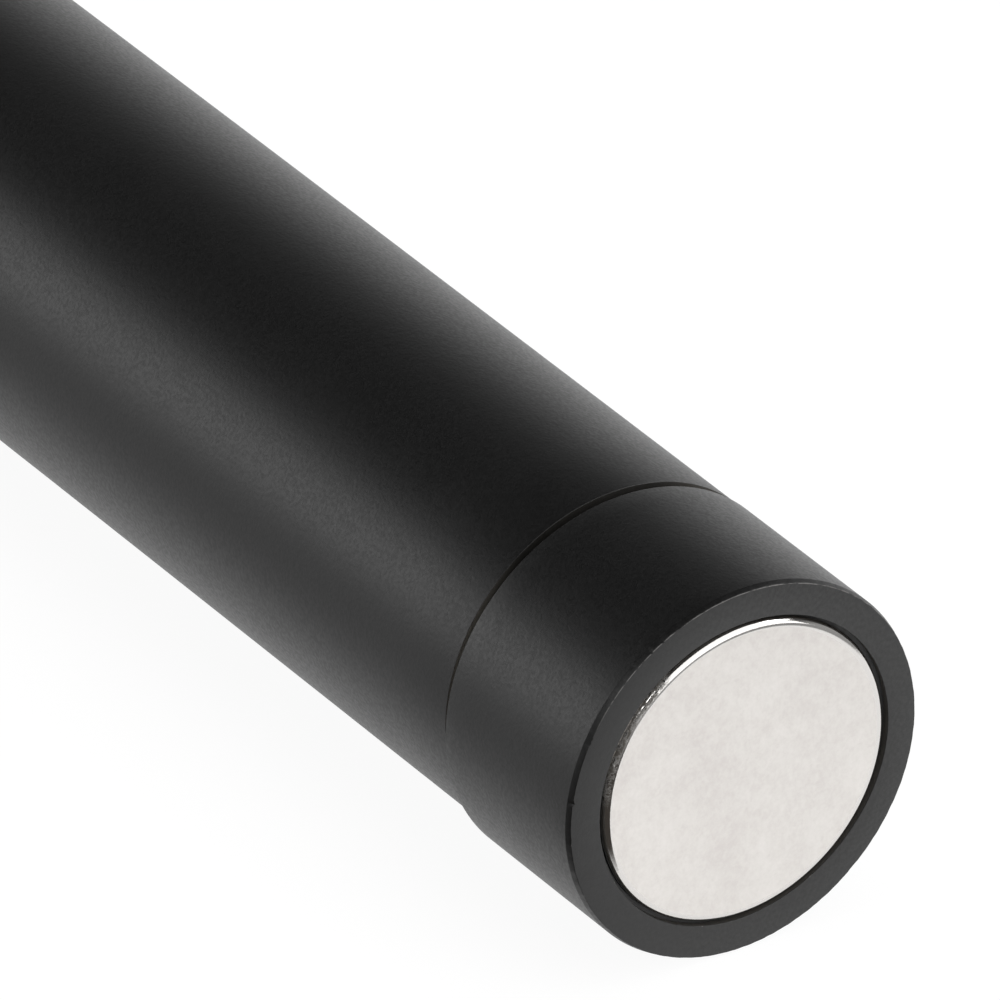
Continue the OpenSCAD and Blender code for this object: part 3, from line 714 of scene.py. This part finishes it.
rubber = moulded("rubber", (0.016, 0.016, 0.016), (0.026, 0.026, 0.027), rough=0.62, grain=1400, depth=2e-6)
white_plastic = moulded("white_plastic", (0.7, 0.69, 0.64), (0.8, 0.79, 0.75), rough=0.42, grain=1800)
board_mask = moulded("board_mask", (0.02, 0.16, 0.07), (0.035, 0.22, 0.1), rough=0.35)
film = clear("film", (0.86, 0.87, 0.88), rough=0.18, through=0.6)
cell_steel = metal("cell_steel", (0.58, 0.58, 0.58), (0.74, 0.74, 0.73), rough=0.2)
brass = metal("brass", (0.66, 0.46, 0.18), (0.83, 0.63, 0.3), rough=0.28)
core_fibre = fibre("core_fibre", (0.38, 0.22, 0.06), (0.62, 0.42, 0.15))


# Tail cap: turned finer than the solid's mesh, with a cut thread, rounded edges and small nicks


def pocket_room(turn):
    """The pocket is a little wider on one side."""
    return POCKET_SLACK * lobe(turn, 5, 2)


def thread_cut(z, turn):
    """Depth of the thread's groove, with flat crests and roots, running out at both ends."""
    flat = 0.125
    phase = (-z / PITCH - turn / (2 * math.pi)) % 1.0
    tooth = min(1.0, max(0.0, (abs(phase - 0.5) * 2 - flat) / (1 - 2 * flat)))
    run_out = min(1.0, (z - THREAD_FROM) / PITCH, (THREAD_TO - z) / PITCH)
    return THREAD_DEPTH * (1 - tooth) * run_out


def tail_shift(z, r, turn):
    """Uneven edges and nicks on the end ring, room in the pocket, and the thread."""
    on_ring = abs(z - Z_RING) < 0.04
    if on_ring and abs(r - (TAIL_R - END_BREAK)) < 0.03:
        r += 0.012 * ragged(turn, 26, 3.1) - 0.05 * max(0.0, ragged(turn, 14, 8.7) - 0.3)
        r -= NICK_DEPTH * max(0.0, ragged(turn, 40, 4.9) - 0.25) * lobe(turn, 150, 4)
    if on_ring and abs(r - POCKET_R) < 0.03:
        r += 0.008 * ragged(turn, 30, 5.3)
    if abs(r - POCKET_R) < 0.03:
        r += pocket_room(turn)
    if THREAD_FROM <= z <= THREAD_TO and r > THREAD_R - 0.05:
        r -= thread_cut(z, turn)
    return z, r


tail_section = fillet(
    [
        (MAGNET_T, 0, 0),
        (MAGNET_T, POCKET_R, 0),
        (Z_RING, POCKET_R, 0.02),
        (Z_RING, TAIL_R - END_BREAK, 0.02),
        (Z_RING + END_BREAK_LEN, TAIL_R, 0.03),
        (Z_COLLAR - SEAM_BREAK, TAIL_R, 0.015),
        (Z_COLLAR, TAIL_R - SEAM_BREAK, 0.015),
        (Z_COLLAR, STOP_R, 0.03),
        (Z_STOP, STOP_R, 0.04),
        (Z_STOP, THREAD_R, 0),
        (Z_SEAL, THREAD_R, 0.05),
        (Z_SEAL, SEAL_FLOOR_R, 0.05),
        (Z_SEAL + SEAL_LEN, SEAL_FLOOR_R, 0.05),
        (Z_SEAL + SEAL_LEN, THREAD_R, 0.05),
        (THREAD_TO, THREAD_R, 0),
        (Z_SPIGOT, THREAD_R - PITCH / 2, 0.05),
        (Z_SPIGOT, SPRING_CUP_R, 0.1),
        (Z_CUP, SPRING_CUP_R, 0.1),
        (Z_CUP, 0, 0),
    ]
)
THREAD_STEPS = 16
thread_step = PITCH / THREAD_STEPS
thread_count = round((THREAD_TO - THREAD_FROM) / thread_step)
thread = [(THREAD_FROM + thread_step * k, THREAD_R) for k in range(thread_count)]
cut = next(i for i, (z, r) in enumerate(tail_section) if z > THREAD_FROM and abs(r - THREAD_R) < 1e-6)
tail_section = subdivide(tail_section[:cut] + thread + tail_section[cut:], longest=0.8)
tail_shape = lathe(tail_section, sides=520, shift=tail_shift)
make("tail_cap_turned", tail_shape, "tail_cap", "body_black", tail_black, "tail_cap")


# Magnet, a little to one side in its pocket, on a bead of glue


def magnet_shift(z, r, turn):
    return z, r + MAGNET_OFF * math.cos(turn)


def glue_shift(z, r, turn):
    """A ragged top that stands higher on one side, and an outside that fills the pocket."""
    if z < GLUE_TOP + 0.05:
        z += 0.03 * ragged(turn, 9, 2.2) + 0.012 * ragged(turn, 34, 6.4)
        z -= GLUE_RISE * lobe(turn, 145, 8)
    if r > POCKET_R:
        r += pocket_room(turn)
    return z, r


edge = MAGNET_EDGE_R
magnet_section = (
    [(0, r) for r in (0, 1.5, 3.0, 4.2, 4.7)]
    + quarter(edge, MAGNET_R - edge, -edge, edge, step=5)[::-1]
    + quarter(MAGNET_T - edge, MAGNET_R - edge, edge, edge, step=15)
    + [(MAGNET_T, MAGNET_R / 2), (MAGNET_T, 0)]
)
magnet_shape = lathe(magnet_section, sides=360, shift=magnet_shift)
make("magnet_disc", magnet_shape, "tail_cap", "nickel", magnet_nickel, "magnet", sharp=40)

glue_section = [
    (GLUE_TOP + 0.02, MAGNET_R - 0.02),
    (GLUE_TOP, POCKET_R + 0.01),
    (GLUE_BOTTOM, POCKET_R + 0.01),
    (GLUE_BOTTOM, MAGNET_R - 0.02),
]
glue_shape = lathe(subdivide(glue_section, longest=0.1), sides=360, shift=glue_shift)
make("glue_bead", glue_shape, "tail_cap", "black_plastic", glue)


# Barrel


def barrel_shift(z, r, turn):
    """The barrel sits a little off the tail cap's axis and askew at the seam, so that the step shows on
    one side only and the gap is wider on top; further on it comes back to the axis."""
    back_from = 25
    if z < Z_BARREL + 0.02:
        z += BARREL_SKEW * lobe(turn, 65)
    if r > THREAD_BORE_R + 0.3:
        away = max(0.0, (z - back_from) / (Z_BARREL_FRONT - back_from))
        fade = 1 - away * away * (3 - 2 * away)
        r += BARREL_OFF * fade * math.cos(turn - BARREL_OFF_TURN)
    return z, r


barrel_section = fillet(
    [
        (Z_BARREL, THREAD_BORE_R, 0),
        (Z_BARREL, BODY_R - BARREL_BREAK, 0.004),
        (Z_BARREL + BARREL_BREAK, BODY_R, 0.004),
        (Z_BARREL_FRONT - SEAM_BREAK, BODY_R, 0.015),
        (Z_BARREL_FRONT, BODY_R - SEAM_BREAK, 0.015),
        (Z_BARREL_FRONT, THREAD_BORE_R, 0),
        (Z_GRIP_BACK, THREAD_BORE_R, 0),
        (Z_GRIP_BACK, BARREL_BORE_R, 0),
        (Z_TAIL_THREAD, BARREL_BORE_R, 0),
        (Z_TAIL_THREAD, THREAD_BORE_R, 0),
    ]
)
barrel_shape = lathe(subdivide(barrel_section, longest=3.0), sides=320, shift=barrel_shift)
make("barrel_tube", barrel_shape, "barrel", "body_black", barrel_black, "barrel")


# Springs

tail_coil = helix(mean_d=5.6, wire_d=0.6, start=Z_CUP + SPRING_GAP, end=Z_PLUG - SPRING_GAP, curls=6)
make("tail_spring_wire", tail_coil, "tail_seal", "spring_steel", spring_steel, "tail_spring")
cell_coil_start = Z_INNER_END + STRIP_T + SPRING_GAP
cell_coil = helix(mean_d=5.0, wire_d=0.4, start=cell_coil_start, end=Z_CELLS - SPRING_GAP, curls=2.5)
make("cell_spring_wire", cell_coil, "cap", "spring_steel", spring_steel, "cell_spring")


# Grip section, with a groove for its seal ring and shallow grooves for the fingers

Z_GRIP_RING_END = Z_GRIP_RING + SEAL_LEN
grip_corners = [
    (Z_GRIP_BACK, GRIP_BORE_R, 0),
    (Z_GRIP_BACK, THREAD_R, 0.05),
    (Z_BARREL_FRONT, THREAD_R, 0),
    (Z_BARREL_FRONT, BODY_R - SEAM_BREAK, 0.015),
    (Z_BARREL_FRONT + SEAM_BREAK, BODY_R, 0.015),
    (Z_GRIP - SEAM_BREAK, BODY_R, 0.015),
    (Z_GRIP, BODY_R - SEAM_BREAK, 0.015),
    (Z_GRIP, GRIP_R, 0.05),
    (Z_GRIP_RING, GRIP_R, 0.06),
    (Z_GRIP_RING, GRIP_RING_FLOOR_R, 0.06),
    (Z_GRIP_RING_END, GRIP_RING_FLOOR_R, 0.06),
    (Z_GRIP_RING_END, GRIP_R, 0.06),
]
for k in range(GRIP_GROOVES):
    z = Z_GRIP_RING_END + 2 * GROOVE_W * (k + 1)
    grip_corners += [
        (z, GRIP_R, 0.08),
        (z, GRIP_R - GROOVE_DEPTH, 0.09),
        (z + GROOVE_W, GRIP_R - GROOVE_DEPTH, 0.09),
        (z + GROOVE_W, GRIP_R, 0.08),
    ]
grip_corners += [
    (Z_GRIP_FRONT - GRIP_BEVEL, GRIP_R, 0.1),
    (Z_GRIP_FRONT, GRIP_R - GRIP_BEVEL, 0.1),
    (Z_GRIP_FRONT, GRIP_BORE_R, 0),
]
grip_shape = lathe(subdivide(fillet(grip_corners), longest=1.5), sides=240)
make("grip_turned", grip_shape, "barrel", "body_black", body_black, "grip_section")


# Nib and its holder


def nib_shift(z, r, turn):
    """Worn fibres make the nib's point uneven."""
    if z > Z_HOLDER_TIP + 1:
        r *= 1 + 0.012 * ragged(turn, 5, 1.7) + 0.008 * ragged(turn, 22, z)
    return z, r


holder_section = fillet(
    [
        (Z_HOLDER_BACK, NIB_R + SLIP, 0),
        (Z_HOLDER_BACK, GRIP_BORE_R - SLIP, 0),
        (Z_GRIP_FRONT, GRIP_BORE_R - SLIP, 0),
        (Z_GRIP_FRONT, GRIP_R - GRIP_BEVEL, 0.05),
        (Z_NOSE, GRIP_R - GRIP_BEVEL, 0.12),
        (Z_NOSE, NOSE_R, 0.15),
        (Z_CONE, NOSE_R, 0.4),
        (Z_HOLDER_TIP, CONE_TIP_R, 0.2),
        (Z_HOLDER_TIP, NIB_R + SLIP, 0),
    ]
)
holder_shape = lathe(subdivide(holder_section, longest=1.0), sides=200)
make("holder_moulded", holder_shape, "barrel", "black_plastic", black_plastic, "nib_holder")

point_len = 2 * NIB_R
nib_point = quarter(Z_NIB_TIP - point_len, 0, point_len, NIB_R, step=5)
nib_section = [(Z_NIB_TAIL, 0), (Z_NIB_TAIL, NIB_R)] + nib_point
nib_shape = lathe(subdivide(nib_section, longest=1.0), sides=180, shift=nib_shift)
make("nib_felt", nib_shape, "barrel", "nib_fibre", nib_fibre, "nib")


# Bezel at the front of the cap

bezel_section = fillet(
    [
        (Z_BEZEL_BACK, BEZEL_BORE_R, 0),
        (Z_BEZEL_BACK, BEZEL_SPIGOT_R, 0),
        (Z_HEAD, BEZEL_SPIGOT_R, 0),
        (Z_HEAD, BODY_R - SEAM_BREAK, 0.015),
        (Z_HEAD + SEAM_BREAK, BODY_R, 0.015),
        (Z_FRONT - BEZEL_BEVEL, BODY_R, 0.15),
        (Z_FRONT, BODY_R - BEZEL_BEVEL, 0.15),
        (Z_FRONT, WINDOW_R + WINDOW_BEVEL, 0.08),
        (Z_FRONT - WINDOW_BEVEL, WINDOW_R, 0.08),
        (Z_LIP, WINDOW_R, 0),
        (Z_LIP, BEZEL_BORE_R, 0),
    ]
)
bezel_shape = lathe(subdivide(bezel_section, longest=1.0), sides=320)
make("bezel_turned", bezel_shape, "cap", "body_black", body_black, "lamp_bezel")


# Pocket clip: a ring under the bezel and a bent arm with rounded edges

CLIP_EDGE_R = 0.16
CLIP_CROWN = 0.03
CLIP_BEND_STEPS = 24
CLIP_EDGE_STEPS = 5


def clip_line():
    """Centre line of the clip's arm, as points of distance behind its front and distance from the axis."""
    arm_r = BODY_R + CLIP_RISE
    tip_low = BODY_R + CLIP_TIP_GAP + CLIP_T / 2
    bend_end = CLIP_T / 2 + CLIP_BEND_R
    run = CLIP_LEN - bend_end - CLIP_TIP_R * math.sin(CLIP_TIP_ANGLE)
    slope = math.atan((arm_r - tip_low) / run)
    tip = (bend_end + run + CLIP_TIP_R * math.sin(slope), tip_low + CLIP_TIP_R * math.cos(slope))
    shares = [k / CLIP_BEND_STEPS for k in range(CLIP_BEND_STEPS + 1)]
    line = [(CLIP_T / 2, BODY_R - CLIP_ROOT), (CLIP_T / 2, BODY_R)]
    for share in shares:
        a = math.pi - (math.pi / 2 + slope) * share
        line.append((bend_end + CLIP_BEND_R * math.cos(a), arm_r - CLIP_BEND_R + CLIP_BEND_R * math.sin(a)))
    for share in shares:
        a = -math.pi / 2 - slope + (slope + CLIP_TIP_ANGLE) * share
        line.append((tip[0] + CLIP_TIP_R * math.cos(a), tip[1] + CLIP_TIP_R * math.sin(a)))
    return [point for point in subdivide(line, longest=0.6) if point[0] < CLIP_LEN - 0.03]


def clip_half_width(behind):
    """Half of the arm's width so far behind its front: narrower towards the round tip."""
    root = CLIP_T + 2 * CLIP_BEND_R
    tip_r = CLIP_TIP_W / 2
    if behind > CLIP_LEN - tip_r:
        return math.sqrt(max(0.0, tip_r**2 - (behind - CLIP_LEN + tip_r) ** 2))
    share = min(1.0, max(0.0, (behind - root) / (CLIP_LEN - tip_r - root)))
    return (CLIP_W + (CLIP_TIP_W - CLIP_W) * share) / 2


def clip_ring(here, along):
    """Section of the arm at a point of its line: rounded edges and a slightly crowned top."""
    half = clip_half_width(here[0])
    thick = CLIP_T / 2 - FACE_GAP
    corner = min(CLIP_EDGE_R, 0.7 * half)
    outline = []
    for side, top in ((1, 1), (-1, 1), (-1, -1), (1, -1)):
        for k in range(CLIP_EDGE_STEPS + 1):
            a = math.pi / 2 * k / CLIP_EDGE_STEPS
            a = a if side == top else math.pi / 2 - a
            across = side * (half - corner + corner * math.cos(a))
            outline.append((across, top * (thick - corner + corner * math.sin(a))))
        if side == top:
            for share in (0.6, 0.2, -0.2, -0.6):
                crown = CLIP_CROWN * (1 - share**2) if top > 0 else 0
                outline.append((side * share * (half - corner), top * thick + crown))
    return [
        LAID @ (Vector((here[1] + up * along[0], across, Z_HEAD - here[0] + up * along[1])) * MM)
        for across, up in outline
    ]


line = clip_line()
arm = []
for i, here in enumerate(line):
    before, after = line[max(i - 1, 0)], line[min(i + 1, len(line) - 1)]
    step = math.dist(before, after)
    arm.append(clip_ring(here, ((after[0] - before[0]) / step, (after[1] - before[1]) / step)))
clip_section = fillet(
    [
        (Z_SHELL_FRONT, CAP_BORE_R, 0),
        (Z_SHELL_FRONT, BODY_R - SEAM_BREAK, 0.015),
        (Z_SHELL_FRONT + SEAM_BREAK, BODY_R, 0.015),
        (Z_HEAD - SEAM_BREAK, BODY_R, 0.015),
        (Z_HEAD, BODY_R - SEAM_BREAK, 0.015),
        (Z_HEAD, CAP_BORE_R, 0),
    ]
)
clip_shape = joined(lathe(clip_section, sides=320), stack(arm))
make("clip_bent", clip_shape, "cap", "clip_steel", clip_coat, "pocket_clip")


# Lamp button: a dished top that follows the cap's round, on two tabs that hold it in the cap

BUTTON_EDGE_R = 0.24
BUTTON_EDGE_STEPS = 6
DISH_DEPTH = 0.16
DISH_R = 1.2


def stadium(length, width, arc_steps=20, side_steps=8):
    """Points of distance along the pen and across it, round a slot with round ends."""
    half, r = (length - width) / 2, width / 2
    out = []
    for end in (1, -1):
        for k in range(arc_steps + 1):
            a = math.pi * (k / arc_steps - 0.5)
            out.append((end * (half + r * math.cos(a)), end * r * math.sin(a)))
        out += [(end * half * (1 - 2 * k / side_steps), end * r) for k in range(1, side_steps)]
    return out


def button_point(along, across, height):
    return LAID @ (Vector((-height, across, Z_BUTTON + along)) * MM)


def flat_ring(outline, height):
    return [button_point(along, across, height) for along, across in outline]


def button_ring(inset, drop):
    """Outline of the button, inset from its sides and lower than its round top by drop."""
    ring = []
    for along, across in stadium(BUTTON_LEN - 2 * inset, BUTTON_W - 2 * inset):
        ring.append(button_point(along, across, math.sqrt(BUTTON_TOP**2 - across**2) - drop))
    return ring


rings = [flat_ring(stadium(BUTTON_LEN, BUTTON_W), TAB_BOTTOM)]
for k in range(BUTTON_EDGE_STEPS + 1):
    a = math.pi / 2 * k / BUTTON_EDGE_STEPS
    rings.append(button_ring(BUTTON_EDGE_R * (1 - math.cos(a)), BUTTON_EDGE_R * (1 - math.sin(a))))
for inset in (0.45, 0.65, 0.85, 1.05, 1.25, 1.42):
    rings.append(button_ring(inset, DISH_DEPTH * (1 - ((BUTTON_W / 2 - inset) / DISH_R) ** 2)))
tab_outline = stadium(BUTTON_LEN + 2 * TAB_LEN, BUTTON_W - FACE_GAP)
tabs = [flat_ring(tab_outline, height) for height in (TAB_BOTTOM + FACE_GAP / 2, TAB_TOP)]
button_shape = joined(stack(rings), stack(tabs))
make("button_moulded", button_shape, "lamp_button", "button", button_rubber, "lamp_button", sharp=40)


# Lens, reflector and lamp

lens_section = fillet([(Z_LENS, 0, 0), (Z_LENS, LENS_R, 0.1), (Z_LIP, LENS_R, 0.1), (Z_LIP, 0, 0)])
lens_shape = lathe(subdivide(lens_section, longest=0.6), sides=200)
make("lens_disc", lens_shape, "cap", "lens", lens_clear, "lamp_lens")

BOWL_STEPS = 40
bowl = []
for k in range(BOWL_STEPS, -1, -1):
    share = k / BOWL_STEPS
    station = Z_BEZEL_BACK + (Z_GASKET - Z_BEZEL_BACK) * share
    bowl.append((station, THROAT_R + (WINDOW_R - THROAT_R) * math.sqrt(share)))
reflector_section = [
    (Z_REFLECTOR, THROAT_R),
    (Z_REFLECTOR, BEZEL_SPIGOT_R),
    (Z_BEZEL_BACK, BEZEL_SPIGOT_R),
    (Z_BEZEL_BACK, LENS_R),
    (Z_GASKET, LENS_R),
] + bowl
make("reflector_bowl", lathe(reflector_section, sides=240), "cap", "reflector", mirror, "reflector")


def lead(side, sides=24):
    """One of the lamp's two wires, from the board into the flange."""
    rings = []
    for z in (Z_LEADS, Z_LED + LED_FLANGE_T / 2):
        turns = [2 * math.pi * k / sides for k in range(sides)]
        ring = [(LEAD_R * math.cos(t), side * LEAD_PITCH / 2 + LEAD_R * math.sin(t), z) for t in turns]
        rings.append([LAID @ (Vector(point) * MM) for point in ring])
    return stack(rings)


led_section = [
    (Z_LED, 0),
    (Z_LED, LED_FLANGE_R),
    (Z_REFLECTOR, LED_FLANGE_R),
    (Z_REFLECTOR, LED_R),
] + quarter(Z_DOME, 0, LED_R, LED_R, step=3)
lamp_shape = joined(lathe(led_section, sides=180), lead(1), lead(-1))
make("lamp_dome", lamp_shape, "cap", "led", led_clear, "uv_led", sharp=40)


# The other solids keep their shape and get their finish

FINISHES = {
    "tail_o_ring": rubber,
    "grip_o_ring": rubber,
    "lens_gasket": rubber,
    "reservoir_plug": white_plastic,
    "reservoir_core": core_fibre,
    "reservoir_film": film,
    "cap_shell": body_black,
    "inner_cap": white_plastic,
    "lamp_carrier": black_plastic,
    "contact_strip": brass,
    "cell_rear": cell_steel,
    "cell_middle": cell_steel,
    "cell_front": cell_steel,
    "led_board": board_mask,
    "button_switch": black_plastic,
    "switch_plunger": black_plastic,
}
for name, finish in FINISHES.items():
    nodes[name].data.materials.clear()
    nodes[name].data.materials.append(finish)


# Floor, light and camera

FLOOR_Z = -TAIL_R * MM
FLOOR_HALF = 6
WHITE = (1, 1, 1, 1)
CARD_DARK = (0.08, 0.072, 0.065, 1)


def grey(level):
    return (level, level, level, 1)


class Tree:
    """Short calls for the nodes of a floor or world."""

    def __init__(self, owner, out):
        owner.use_nodes = True
        self.tree = owner.node_tree
        self.tree.nodes.clear()
        self.out = self.tree.nodes.new(out).inputs["Surface"]

    def node(self, kind, *values, output=0, **settings):
        node = self.tree.nodes.new(kind)
        for key, value in settings.items():
            setattr(node, key, value)
        for socket, value in zip(node.inputs, values):
            if isinstance(value, bpy.types.NodeSocket):
                self.tree.links.new(value, socket)
            else:
                socket.default_value = value
        return node.outputs[output]

    def rays(self, *kinds):
        """1 for rays of any of these kinds."""
        path = self.tree.nodes.new("ShaderNodeLightPath")
        found = path.outputs[kinds[0]]
        for kind in kinds[1:]:
            found = self.node("ShaderNodeMath", found, path.outputs[kind], operation="MAXIMUM")
        return found

    def span(self, value, low, high, to_low, to_high):
        """Smooth step of a value from low..high to to_low..to_high."""
        limits = (low, high, to_low, to_high)
        return self.node("ShaderNodeMapRange", value, *limits, interpolation_type="SMOOTHSTEP")

    def along(self, place, direction):
        return self.node("ShaderNodeVectorMath", place, direction, operation="DOT_PRODUCT", output="Value")

    def diffuse(self, level):
        return self.node("ShaderNodeBsdfDiffuse", grey(level))

    def shining(self, level, strength):
        """Diffuse grey that also shines."""
        return self.node(
            "ShaderNodeAddShader", self.diffuse(level), self.node("ShaderNodeEmission", WHITE, strength)
        )

    def mix(self, share, a, b):
        return self.node("ShaderNodeMixShader", share, a, b)

    def finish(self, shader):
        self.tree.links.new(shader, self.out)


def stage_plane(name, corners, z):
    mesh = bpy.data.meshes.new(name)
    mesh.from_pydata([(x, y, z) for x, y in corners], [], [tuple(range(len(corners)))])
    obj = bpy.data.objects.new(name, mesh)
    scene.collection.objects.link(obj)
    material = bpy.data.materials.new(name)
    mesh.materials.append(material)
    return obj, Tree(material, "ShaderNodeOutputMaterial")


# Pale floor: white to the camera with a faint shadow, and darker in reflections on two sides
floor_corners = [(FLOOR_HALF * x, FLOOR_HALF * y) for x, y in ((-1, -1), (1, -1), (1, 1), (-1, 1))]
_, t = stage_plane("floor", floor_corners, FLOOR_Z)
spot = t.node("ShaderNodeTexCoord", output="Object")
across = t.node("ShaderNodeSeparateXYZ", spot, output="Y")
far_off = t.along(spot, (0.7, 0.71, 0.0))
mirrored = t.shining(0.45, t.span(across, -0.015, -0.005, 0.27, 0.8))
mirrored = t.mix(t.span(far_off, 0.03, 0.055, 0.0, 0.8), mirrored, t.diffuse(0.2))
lit = t.mix(t.rays("Is Glossy Ray", "Is Transmission Ray"), t.diffuse(0.8), mirrored)
t.finish(t.mix(t.rays("Is Camera Ray"), lit, t.shining(0.1, 0.94)))

# Dark card beside the tail, seen only in reflections, which draws the edges of the ring and the magnet
card, t = stage_plane(
    "card",
    (
        (0.007, -0.0054),
        (0.003, -0.0054),
        (0.0005, -0.0062),
        (-0.004, -0.009),
        (-0.035, -0.11),
        (0.09, -0.11),
        (0.07, -0.008),
    ),
    FLOOR_Z + 0.05 * MM,
)
inward = t.along(t.node("ShaderNodeTexCoord", output="Object"), (0.53, -0.85, 0.0))
clear_edge = t.node("ShaderNodeBsdfTransparent", WHITE)
dark = t.node("ShaderNodeBsdfDiffuse", CARD_DARK)
t.finish(t.mix(t.span(inward, 0.0045, 0.0085, 0.0, 1.0), clear_edge, dark))
card.visible_camera = card.visible_diffuse = card.visible_shadow = card.visible_transmission = False

# Bright low surroundings under a dark ceiling, darker on three sides; white to the camera
world = bpy.data.worlds.new("studio")
scene.world = world
t = Tree(world, "ShaderNodeOutputWorld")
direction = t.node("ShaderNodeTexCoord", output="Generated")
height = t.node("ShaderNodeSeparateXYZ", direction, output="Z")
level = t.span(height, 0.12, 0.58, 1.0, 0.02)
for towards, start, full, least in (
    ((0.15, -0.99, 0.0), 0.35, 0.9, 0.12),
    ((1.0, 0.0, 0.0), 0.5, 0.95, 0.6),
    ((0.45, 0.89, 0.0), 0.62, 0.92, 0.4),
):
    shade = t.span(t.along(direction, towards), start, full, 1.0, least)
    level = t.node("ShaderNodeMath", level, shade, operation="MULTIPLY")
seen = t.node("ShaderNodeMath", level, t.rays("Is Camera Ray"), operation="MAXIMUM")
t.finish(t.node("ShaderNodeBackground", WHITE, seen))


def softbox(name, towards, distance, size, radiance, glossy=True, diffuse=True):
    """Lamp of a size in metres that faces the tail; unless glossy or diffuse, such rays don't see it."""
    data = bpy.data.lights.new(name, "AREA")
    data.shape = "RECTANGLE"
    data.size, data.size_y = size
    data.energy = radiance * math.pi * size[0] * size[1]
    lamp = bpy.data.objects.new(name, data)
    scene.collection.objects.link(lamp)
    towards = Vector(towards).normalized()
    lamp.location = towards * distance
    lamp.rotation_mode = "QUATERNION"
    lamp.rotation_quaternion = towards.to_track_quat("Z", "Y")
    lamp.visible_camera = False
    lamp.visible_glossy = glossy
    lamp.visible_diffuse = diffuse


strip = {"distance": 0.8, "size": (0.5, 0.22), "diffuse": False}
softbox("key", (0.747, 0.287, 0.6), distance=0.8, size=(1.19, 0.85), radiance=1.6)
softbox("left", (-0.72, -0.68, 0.17), distance=0.7, size=(0.5, 0.35), radiance=1.5)
softbox("fill", (-0.1, 0.1, 1.0), distance=1.2, size=(1.2, 1.2), radiance=1.6, glossy=False)
softbox("side_left", (0.2, -0.75, 0.64), radiance=3.4, **strip)
softbox("side_right", (0.2, 0.75, 0.64), radiance=4.8, **strip)

# Camera, standing as the photograph's did, with the magnet's face off the middle of the picture
PICTURE_PX = 1000
FACE_RIGHT_PX = 244.7
FACE_BELOW_PX = 272.1
LENS = 742.8
SENSOR = 36
DISTANCE = 0.608
back = Vector((0.71241, -0.48527, 0.50694)).normalized()
right = Vector((0.55578, 0.8312, 0.01463)).normalized()
up = back.cross(right).normalized()
pixel = DISTANCE / (LENS / SENSOR * PICTURE_PX)
camera = bpy.data.cameras.new("camera")
camera.lens = LENS
camera.sensor_width = SENSOR
camera.clip_start, camera.clip_end = 0.01, 50
eye = bpy.data.objects.new("camera", camera)
scene.collection.objects.link(eye)
eye.rotation_mode = "QUATERNION"
eye.location = DISTANCE * back - FACE_RIGHT_PX * pixel * right + FACE_BELOW_PX * pixel * up
eye.rotation_quaternion = Matrix((right, up, back)).transposed().to_quaternion()
scene.camera = eye

scene.view_settings.view_transform = "Standard"
